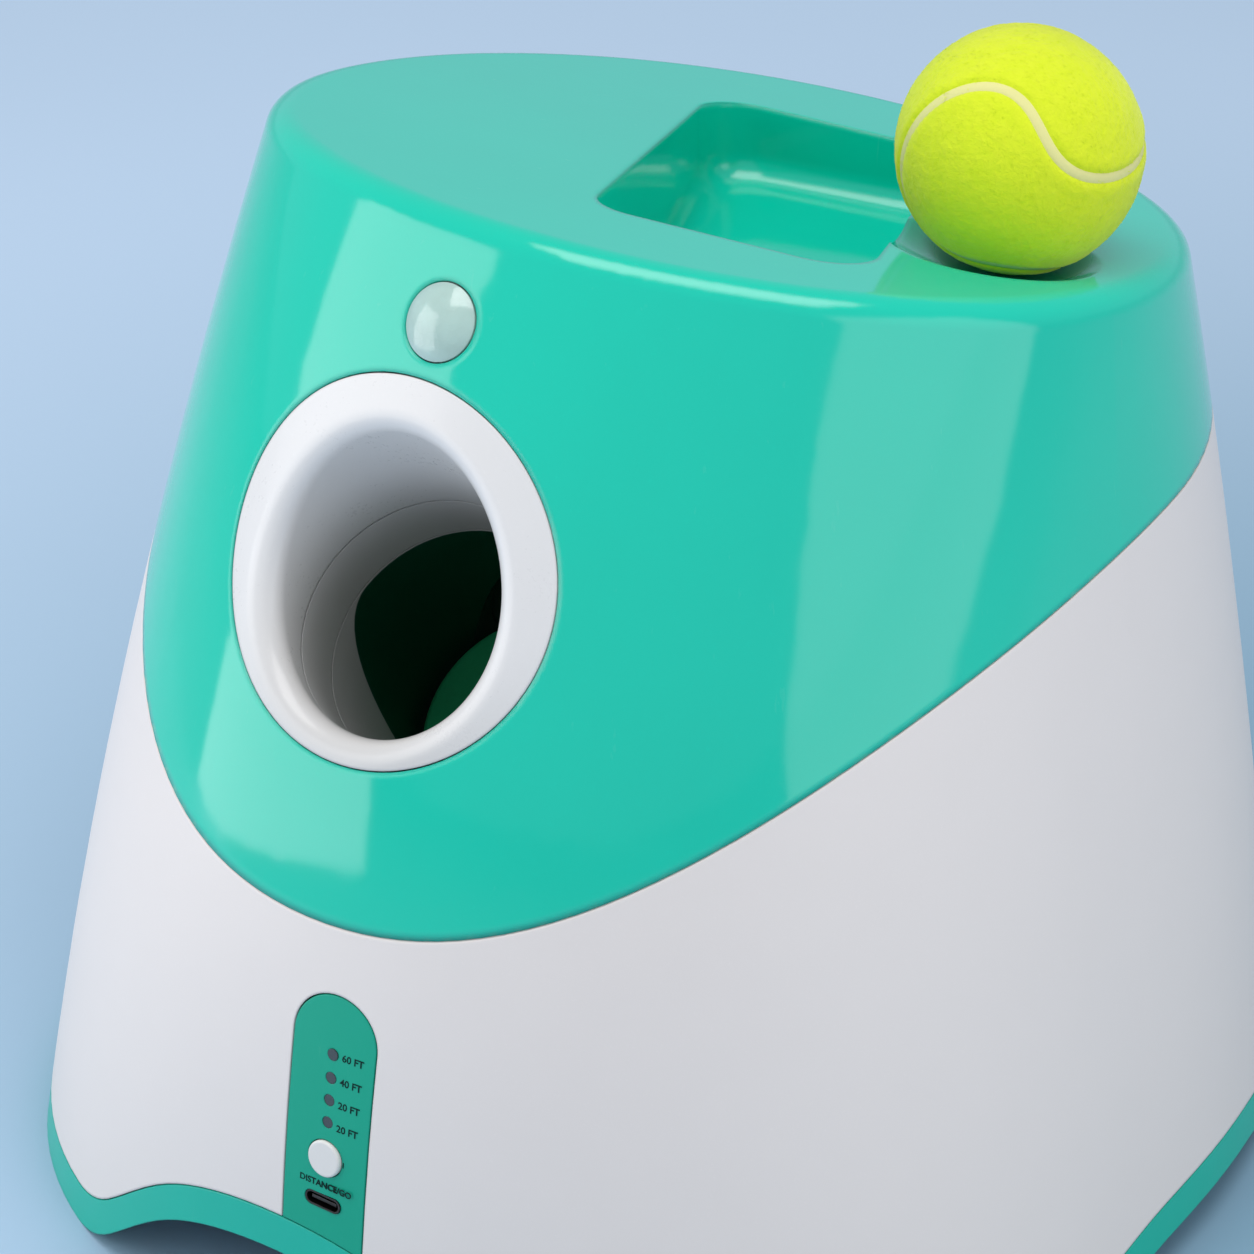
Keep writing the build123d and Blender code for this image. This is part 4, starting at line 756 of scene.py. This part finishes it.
def placed(name: str, shape: bmesh.types.BMesh) -> Piece:
    """Turn a finished shape into an object of the scene.

    Args:
        name: the piece's name.
        shape: its vertices and faces, which are freed.

    Returns:
        The piece.
    """
    mesh = bpy.data.meshes.new(name)
    shape.to_mesh(mesh)
    shape.free()
    return added(name, mesh)


def ring(centre: Vector, across: Vector, along: Vector, sides: int) -> list[Vector]:
    """Points on an ellipse with the half axes across and along."""
    angles = [2 * math.pi * index / sides for index in range(sides)]
    return [centre + across * math.cos(angle) + along * math.sin(angle) for angle in angles]


def tube(name: str, rings: list[list[Vector]], closed: bool) -> Piece:
    """Skin over rings of points.

    Args:
        name: the piece's name.
        rings: the rings, in order along the tube.
        closed: True where the last ring joins the first, False where each end gets a face.

    Returns:
        The piece.
    """
    shape = bmesh.new()
    loops = [[shape.verts.new(point) for point in points] for points in rings]
    following = loops[1:] + loops[:1] if closed else loops[1:]
    for first, second in zip(loops, following):
        for index, corner in enumerate(first):
            other = (index + 1) % len(first)
            shape.faces.new((corner, first[other], second[other], second[index]))
    if not closed:
        shape.faces.new(loops[0])
        shape.faces.new(loops[-1])
    return placed(name, shape)


def settle(piece: Piece, body: str, smooth: float = 40.0) -> Piece:
    """Finish a piece: its place goes into its mesh, its faces point outwards, and it rides on a body.

    Args:
        piece: the object.
        body: name of the body that carries it.
        smooth: largest angle that is shaded smooth, in degrees.

    Returns:
        The piece.
    """
    bpy.ops.object.select_all(action="DESELECT")
    piece.select_set(True)
    bpy.context.view_layer.objects.active = piece
    bpy.ops.object.transform_apply(location=True, rotation=True, scale=True)
    bpy.ops.object.mode_set(mode="EDIT")
    bpy.ops.mesh.select_all(action="SELECT")
    bpy.ops.mesh.normals_make_consistent(inside=False)
    bpy.ops.object.mode_set(mode="OBJECT")
    bpy.ops.object.shade_smooth_by_angle(angle=math.radians(smooth))
    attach(piece, body)
    LOG.info("%s rides on %s: %d faces", piece.name, body, len(piece.data.polygons))
    return piece


def node_centre(node: str) -> Vector:
    """Centre of a node's box."""
    low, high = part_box(node)
    return (Vector(low) + Vector(high)) / 2


# ---- sub-assemblies
@dataclass
class SubAssembly:
    """Group of nodes that belong together, with the nodes of each finish."""

    wardrobe: Wardrobe
    finishes = {}

    def build(self) -> None:
        """Dress the group's nodes."""
        for name, nodes in self.finishes.items():
            self.wardrobe.dress_nodes(name, nodes)


class Covers(SubAssembly):
    """Hood, lower housing, skirt, base and feet."""

    finishes = {
        "hood": ("hood",),
        "shell": ("lower_housing",),
        "skirt": ("skirt",),
        "base": ("base_plate", "battery_door"),
        "foot": ("rubber_feet",),
        "zinc": ("base_screws", "hood_screws", "door_screws"),
    }


class LaunchGroup(SubAssembly):
    """Muzzle ring, barrel, launch cylinder, chute and plunger."""

    finishes = {
        "ring": ("muzzle_ring",),
        "tube": ("barrel",),
        "chamber": ("launch_cylinder", "feed_chute"),
        "plunger": ("plunger", "spring_cap", "cylinder_cradle"),
        "pad": ("plunger_pad",),
        "zinc": ("barrel_screws", "cap_screws", "cradle_screws"),
        "component": ("ball_switch",),
        "steel": ("ball_switch_lever",),
    }


@dataclass
class LaunchSpring(SubAssembly):
    """Round-wire compression spring with closed ends."""

    depths: Pair = (86.4 * MM, 175.6 * MM)
    coil_radius: float = 17.0 * MM
    wire_radius: float = 1.2 * MM
    turns: int = 9
    steps_per_turn: int = 40
    wire_sides: int = 12
    stroke: float = 40.0 * MM

    def outward(self, turn: float) -> Vector:
        """Direction from the spring's axis to its wire, at a number of turns from the front end."""
        side, around = Vector((1.0, 0.0, 0.0)), 2 * math.pi * turn
        return side * math.cos(around) + BORE.axis().cross(side) * math.sin(around)

    def depth(self, turn: float) -> float:
        """Depth of the wire's middle, where the first and the last turn lie against their neighbours.

        Args:
            turn: turns from the front end.

        Returns:
            The distance from the muzzle's middle along the bore's axis.
        """
        wire = 2 * self.wire_radius
        front, back = self.depths[0] + self.wire_radius, self.depths[1] - self.wire_radius
        pitch = (back - front - 2 * wire) / (self.turns - 2)
        open_turns = min(max(turn - 1, 0.0), self.turns - 2)
        closed_turns = min(turn, 1.0) + max(turn - self.turns + 1, 0.0)
        return front + closed_turns * wire + open_turns * pitch

    def rings(self) -> list[list[Vector]]:
        """Rings of points round the wire.

        Returns:
            The rings, from the front end to the back.
        """
        muzzle, axis = Vector(BORE.muzzle), BORE.axis()
        count = self.turns * self.steps_per_turn
        sides = [self.outward(index / self.steps_per_turn) for index in range(count + 1)]
        line = [muzzle + axis * self.depth(index / self.steps_per_turn) + side * self.coil_radius
                for index, side in enumerate(sides)]
        rings = []
        for index, (point, outward) in enumerate(zip(line, sides)):
            along = line[min(index + 1, count)] - line[max(index - 1, 0)]
            across = along.cross(outward).normalized()
            rings.append(ring(point, outward * self.wire_radius, across * self.wire_radius,
                              self.wire_sides))
        return rings

    def build(self) -> None:
        """Wind, dress and seat the spring."""
        piece = settle(tube("compression_spring", self.rings(), closed=False), "housing")
        self.wardrobe.dress(piece, "spring")
        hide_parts("launch_spring")
        seat = Vector(BORE.muzzle) + BORE.axis() * self.depths[1]
        tuple(BORE.axis())
        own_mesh(piece)


class GearBox(SubAssembly):
    """Side plates, gears, shafts, bushes and motor."""

    finishes = {
        "frame": ("gearbox_plate_left", "gearbox_plate_right"),
        "gear": ("sector_gear", "reduction_gear"),
        "brass": ("motor_pinion", "shaft_bushes"),
        "steel": ("sector_shaft", "reduction_shaft", "motor_shaft"),
        "can": ("drive_motor",),
        "zinc": ("motor_screws", "frame_screws"),
    }


class Electronics(SubAssembly):
    """Boards, battery, speaker and sensor."""

    finishes = {
        "board": ("main_board", "control_board", "sensor_board"),
        "component": ("board_components", "tact_switch"),
        "wrap": ("battery_pack",),
        "cone": ("speaker",),
        "lens": ("sensor_lens",),
        "steel": ("sensor_can",),
        "inlet": ("usb_socket",),
        "led": ("status_leds",),
        "zinc": ("board_screws", "control_board_screws", "sensor_screws"),
    }


@dataclass
class ControlStrip(SubAssembly):
    """Green strip with its windows, its button and its printed marks."""

    finishes = {"panel": ("control_panel",), "window": ("status_windows",), "button": ("control_button",)}
    letter_height: float = 1.6 * MM
    letter_depth: float = 0.12 * MM
    letter_weight: float = 0.03 * MM
    letter_resolution: int = 3
    type_size: float = 1.38
    first_row: float = 1.0 * MM
    row_margin: float = 2.625 * MM
    distances: tuple[str, ...] = ("20 FT", "20 FT", "40 FT", "60 FT")
    rows: tuple[float, ...] = (0.0, 0.33, 0.66, 1.0)
    distance_gap: Pair = (2.2 * MM, 0.3 * MM)
    button_word: str = "DISTANCE/GO"
    button_word_height: float = 1.45 * MM
    button_word_place: Pair = (3.6 * MM, 48.2 * MM)
    tick_height: float = 1.2 * MM
    tick_gap: Pair = (4.3 * MM, 0.6 * MM)
    in_front: float = 0.3

    def build(self) -> None:
        """Dress the strip and print its marks."""
        super().build()
        for mark in self.marks():
            self.wardrobe.dress(mark, "ink")

    def face(self, x: float, z: float) -> Matrix:
        """Frame on the strip's face: X to the right, Y up the face and Z out of it.

        Args:
            x: place across the strip.
            z: height.

        Returns:
            The frame's matrix.
        """
        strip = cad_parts["control_panel"]
        inwards = Vector((0.0, 1.0, 0.0))
        hits = [strip.ray_cast(Vector((spot_x, -self.in_front, spot_z)), inwards)[1]
                for spot_x, spot_z in ((x, z), (x + MM, z), (x, z + MM))]
        across = (hits[1] - hits[0]).normalized()
        up = (hits[2] - hits[0]).normalized()
        outward = across.cross(up).normalized()
        up = outward.cross(across)
        matrix = Matrix((across, up, outward)).transposed().to_4x4()
        matrix.translation = hits[0]
        return matrix

    def word(self, name: str, text: str, x: float, z: float, height: float) -> Piece:
        """Thin raised print of a word.

        Args:
            name: the piece's name.
            text: the word.
            x: place of its left edge.
            z: height of its middle.
            height: letter height.

        Returns:
            The piece.
        """
        bpy.ops.object.text_add()
        letters = bpy.context.object.data
        letters.body = text
        letters.size = height * self.type_size
        letters.align_x = "LEFT"
        letters.align_y = "CENTER"
        letters.extrude = self.letter_depth / 2
        letters.offset = self.letter_weight
        letters.resolution_u = self.letter_resolution
        bpy.ops.object.convert(target="MESH")
        piece = named(name)
        piece.matrix_world = self.face(x, z)
        return settle(piece, "housing", smooth=30.0)

    def marks(self) -> list[Piece]:
        """Print the distances beside the windows, the word under the button and the tick beside it.

        Returns:
            The printed pieces.
        """
        low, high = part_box("status_windows")
        rise = high[2] - low[2] - self.row_margin
        x = (low[0] + high[0]) / 2 + self.distance_gap[0]
        marks = []
        for row in reversed(range(len(self.rows))):
            z = low[2] + self.first_row + rise * self.rows[row] + self.distance_gap[1]
            marks.append(self.word(f"distance_mark_{row}", self.distances[row], x, z, self.letter_height))
        x, z = self.button_word_place
        marks.append(self.word("button_word", self.button_word, x, z, self.button_word_height))
        button = node_centre("control_button")
        x, z = button.x + self.tick_gap[0], button.z + self.tick_gap[1]
        marks.append(self.word("button_tick", "I", x, z, self.tick_height))
        return marks


@dataclass
class FeltBall(SubAssembly):
    """Felt ball with its sunk rubber seam and a fringe of loose fibres."""

    radius: float = 24.9 * MM
    subdivisions: int = 7
    seam_width: float = 1.4 * MM
    seam_depth: float = 0.55 * MM
    seam_spread: float = 0.92
    seam_half_thickness: float = 0.36 * MM
    seam_swing: float = 0.766
    seam_lift: float = 0.4
    seam_steps: int = 360
    seam_sides: int = 8
    swell_height: float = 0.18 * MM
    swell_place: float = 2.1
    swell_reach: float = 1.1
    fluff_height: float = 0.07 * MM
    fluff_scales: Pair = (46.0, 15.0)
    fluff_edge: float = 1.3
    jitter: float = 0.02 * MM
    jitter_seed: int = 4
    fibre_seed: int = 11
    fibre_count: int = 5200
    fibre_edge: float = 1.5
    fibre_shares: Pair = (0.4, 1.0)
    fibre_middle: Pair = (0.34, 0.35)
    fibre_rise: Pair = (0.25, 0.5)
    fibre_length: float = 0.9 * MM
    fibre_half_width: float = 0.05 * MM
    fibre_thickness: float = 0.04 * MM
    fibre_root: float = 0.1 * MM
    turn: Triple = (51.6, 133.4, 83.3)
    centre: Vector = field(default_factory=lambda: node_centre("tennis_ball"))
    line: list[Vector] = field(init=False)
    fibre_faces: tuple[tuple[int, ...], ...] = (
        (0, 1, 2, 3), (3, 2, 4), (1, 0, 5), (0, 3, 6, 5), (2, 1, 5, 6), (4, 2, 6), (3, 4, 6))

    def __post_init__(self) -> None:
        """Draw the seam's line on the unit sphere."""
        self.line = [self.seam_point(index / self.seam_steps) for index in range(self.seam_steps)]

    def seam_point(self, share: float) -> Vector:
        """Point on the seam's line, on the unit sphere.

        Args:
            share: way round the seam, from 0 to 1.

        Returns:
            The point.
        """
        angle = 2 * math.pi * share
        wide, narrow = 1.0 - self.seam_swing / 2, self.seam_swing / 2
        point = Vector((wide * math.cos(angle) + narrow * math.cos(3 * angle),
                        wide * math.sin(angle) - narrow * math.sin(3 * angle),
                        self.seam_lift * 2 * math.sqrt(wide * narrow) * math.sin(2 * angle)))
        return self.rotation() @ point.normalized()

    def rotation(self) -> Matrix:
        """Turn of the ball."""
        x, y, z = (Matrix.Rotation(math.radians(a), 3, n) for a, n in zip(self.turn, "XYZ"))
        return z @ y @ x

    def seat(self, piece: Piece, smooth: float = 180.0) -> Piece:
        """Put a piece of the ball in its dish."""
        piece.location = self.centre
        return settle(piece, "ball_body", smooth)

    def shell(self) -> Piece:
        """Ball whose felt swells beside the sunk seam.

        Returns:
            The piece.
        """
        bpy.ops.mesh.primitive_ico_sphere_add(subdivisions=self.subdivisions, radius=self.radius)
        piece = named("felt_ball")
        rng = random.Random(self.jitter_seed)
        tree = kdtree.KDTree(len(self.line))
        for index, point in enumerate(self.line):
            tree.insert(point, index)
        tree.balance()
        for vertex in piece.data.vertices:
            direction = vertex.co.normalized()
            gap = tree.find(direction)[2] * self.radius
            dip = math.exp(-(gap / self.seam_width) ** 4) * self.seam_depth
            beyond = (gap / self.seam_width - self.swell_place) / self.swell_reach
            swell = math.exp(-beyond ** 2) * self.swell_height
            fluff = sum(noise.noise(direction * scale) for scale in self.fluff_scales) * self.fluff_height
            fluff += rng.uniform(-self.jitter, self.jitter)
            edge = min(gap / (self.fluff_edge * self.seam_width), 1.0)
            vertex.co = direction * (self.radius - dip + swell + fluff * edge)
        return self.seat(piece)

    def seam(self) -> Piece:
        """Flat rubber line in the felt's groove.

        Returns:
            The piece.
        """
        rings = []
        for index, point in enumerate(self.line):
            along = self.line[(index + 1) % len(self.line)] - self.line[index - 1]
            across = point.cross(along).normalized() * self.seam_width * self.seam_spread
            centre = point * (self.radius - self.seam_depth)
            rings.append(ring(centre, across, point * self.seam_half_thickness, self.seam_sides))
        return self.seat(tube("ball_seam", rings, closed=True))

    def fibres(self) -> Piece:
        """Loose fibres that stand off the felt and leave the seam clear.

        Returns:
            The piece.
        """
        rng = random.Random(self.fibre_seed)
        clear = self.fibre_edge * self.seam_width
        up, sideways = self.fibre_middle
        shape = bmesh.new()
        for _ in range(self.fibre_count):
            direction = Vector((rng.gauss(0, 1), rng.gauss(0, 1), rng.gauss(0, 1))).normalized()
            if min((direction - point).length for point in self.line[::6]) * self.radius < clear:
                continue
            lean = Vector((rng.gauss(0, 1), rng.gauss(0, 1), rng.gauss(0, 1)))
            lean = (lean - direction * lean.dot(direction)).normalized()
            side = direction.cross(lean) * self.fibre_half_width
            length = self.fibre_length * rng.uniform(*self.fibre_shares)
            root = direction * (self.radius - self.fibre_root)
            middle = root + direction * length * up + lean * length * sideways
            tip = root + direction * length * rng.uniform(*self.fibre_rise) + lean * length
            back = lean * self.fibre_thickness
            front = (root - side, root + side, middle + side, middle - side, tip)
            corners = [shape.verts.new(point) for point in (*front, root - back, middle - back)]
            for face in self.fibre_faces:
                shape.faces.new([corners[index] for index in face])
        return self.seat(placed("ball_fibres", shape), smooth=60.0)

    def build(self) -> None:
        """Make and dress the ball."""
        shell = self.shell()
        for piece, name in ((shell, "felt"), (self.seam(), "seam"), (self.fibres(), "felt")):
            self.wardrobe.dress(piece, name)
        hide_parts("tennis_ball")


# ---- stage
def direction_to(azimuth: float, elevation: float) -> Vector:
    """Direction at an azimuth from the front, -Y, towards +X, and an elevation, in degrees."""
    around, above = math.radians(azimuth), math.radians(elevation)
    return Vector((math.sin(around) * math.cos(above), -math.cos(around) * math.cos(above), math.sin(above)))


@dataclass(frozen=True)
class Softbox:
    """Rectangular lamp that faces the launcher."""

    name: str
    azimuth: float
    elevation: float
    distance: float
    size: Pair
    radiance: float
    lean: float = 0.0
    roll: float = 0.0
    aim: Triple = (0.0, 0.0, 0.12)

    def build(self) -> None:
        """Hang the lamp. Lean, in degrees, tips its face up, and roll turns its top to smaller azimuths."""
        lamp = bpy.data.lights.new(self.name, "AREA")
        lamp.shape = "RECTANGLE"
        lamp.size, lamp.size_y = self.size
        lamp.energy = self.radiance * math.pi * self.size[0] * self.size[1]
        holder = added(self.name, lamp)
        away = direction_to(self.azimuth, self.elevation)
        holder.location = Vector(self.aim) + away * self.distance
        facing = (-away).to_track_quat("-Z", "Y").to_matrix()
        leaning = Matrix.Rotation(math.radians(self.lean), 3, "X")
        rolled = Matrix.Rotation(math.radians(self.roll), 3, "Z")
        holder.rotation_euler = (facing @ leaning @ rolled).to_euler()


@dataclass
class Studio:
    """Pale floor with a painted shadow round the launcher, soft lamps and camera."""

    floor_size: float = 14.0
    floor_colour: Colour = Palette.STAGE.value
    fill_light: Colour = (0.512, 0.512, 0.520)
    mirrored_light: Colour = (0.400, 0.530, 0.690)
    # Centre and reach of the floor's painted shadow.
    painted_shadow_centre: Triple = (0.12, 0.10, 0.0)
    painted_shadow_reach: Pair = (0.06, 0.62)
    azimuth: float = 35.521
    elevation: float = 28.757
    roll: float = 1.259
    distance: float = 1.05836
    target: Triple = (-0.02537, 0.01138, 0.09965)
    lens: float = 136.8
    sensor_width: float = 36.0
    clip_end: float = 100.0
    lamps: tuple[Softbox, ...] = (
        Softbox("left_softbox", azimuth=-42.0, elevation=0.0, distance=0.58, size=(0.42, 0.56),
                radiance=1.95, lean=9.0, roll=9.0, aim=(0.0, 0.0, 0.29)),
        Softbox("right_softbox", azimuth=83.0, elevation=0.0, distance=0.74, size=(0.68, 0.68),
                radiance=1.10, roll=14.0, aim=(0.0, 0.0, 0.37)),
        Softbox("top_softbox", azimuth=20.0, elevation=80.0, distance=1.5, size=(1.3, 0.9), radiance=3.6),
    )

    def build(self) -> None:
        """Lay the floor, light it and place the camera."""
        self.floor()
        for lamp in self.lamps:
            lamp.build()
        self.sky()
        self.camera()

    def floor(self) -> None:
        """Seamless pale floor, darkened by a painted shadow round a point beside the launcher."""
        bpy.ops.mesh.primitive_plane_add(size=self.floor_size)
        piece = named("studio_floor")
        bpy.ops.object.mode_set(mode="EDIT")
        bpy.ops.mesh.select_all(action="SELECT")
        bpy.ops.mesh.subdivide(number_cuts=6)
        bpy.ops.object.mode_set(mode="OBJECT")
        paint = Paint("studio_paper")
        # Painted shadow: the floor takes the shadow colour near the launcher and its own colour from the
        # reach's far end on.
        lit = paint.distance(self.painted_shadow_centre).step(*self.painted_shadow_reach)
        cloud = paint.noise(1.6).step(0.3, 0.7)
        base = paint.blend(cloud, shaded(self.floor_colour, -0.03), shaded(self.floor_colour, 0.02))
        base = paint.blend(lit, Palette.STAGE_PAINTED_SHADOW.value, base)
        normal = paint.relief(paint.noise(900.0), depth=20 * MICRON)
        paint.surface(Base_Color=base, Roughness=0.9, Normal=normal)
        piece.data.materials.append(paint.material)

    def sky(self) -> None:
        """Even pale surround, which glossy parts mirror in the paper's colour."""
        world = bpy.data.worlds.new("studio_surround")
        world.use_nodes = True
        tree = world.node_tree
        background = tree.nodes["Background"]
        mix = tree.nodes.new("ShaderNodeMix")
        mix.data_type = "RGBA"
        mix.inputs[MIX_FIRST].default_value = (*self.fill_light, 1.0)
        mix.inputs[MIX_SECOND].default_value = (*self.mirrored_light, 1.0)
        mirrored = tree.nodes.new("ShaderNodeLightPath").outputs["Is Glossy Ray"]
        tree.links.new(mirrored, mix.inputs[MIX_FACTOR])
        tree.links.new(mix.outputs[MIX_RESULT], background.inputs["Color"])
        bpy.context.scene.world = world

    def camera(self) -> None:
        """Camera at the viewing angle."""
        around, roll = math.radians(self.azimuth), math.radians(self.roll)
        away = direction_to(self.azimuth, self.elevation)
        right = Vector((math.cos(around), math.sin(around), 0.0))
        up = away.cross(right)
        rolled_right = right * math.cos(roll) + up * math.sin(roll)
        rolled_up = up * math.cos(roll) - right * math.sin(roll)
        lens = bpy.data.cameras.new("viewpoint")
        lens.lens = self.lens
        lens.sensor_width = self.sensor_width
        lens.clip_end = self.clip_end
        holder = added("viewpoint", lens)
        matrix = Matrix((rolled_right, rolled_up, away)).transposed().to_4x4()
        matrix.translation = Vector(self.target) + away * self.distance
        holder.matrix_world = matrix
        bpy.context.scene.camera = holder


def main() -> None:
    """Build the sub-assemblies in order."""
    logging.basicConfig(level=logging.INFO, format="%(name)s: %(message)s")
    bpy.context.scene.view_settings.view_transform = "Standard"
    wardrobe = Wardrobe()
    Studio().build()
    for assembly in (Covers, LaunchGroup, LaunchSpring, GearBox, Electronics, ControlStrip, FeltBall):
        assembly(wardrobe).build()
        LOG.info("built %s", assembly.__name__)


if __name__ == "__main__":
    main()
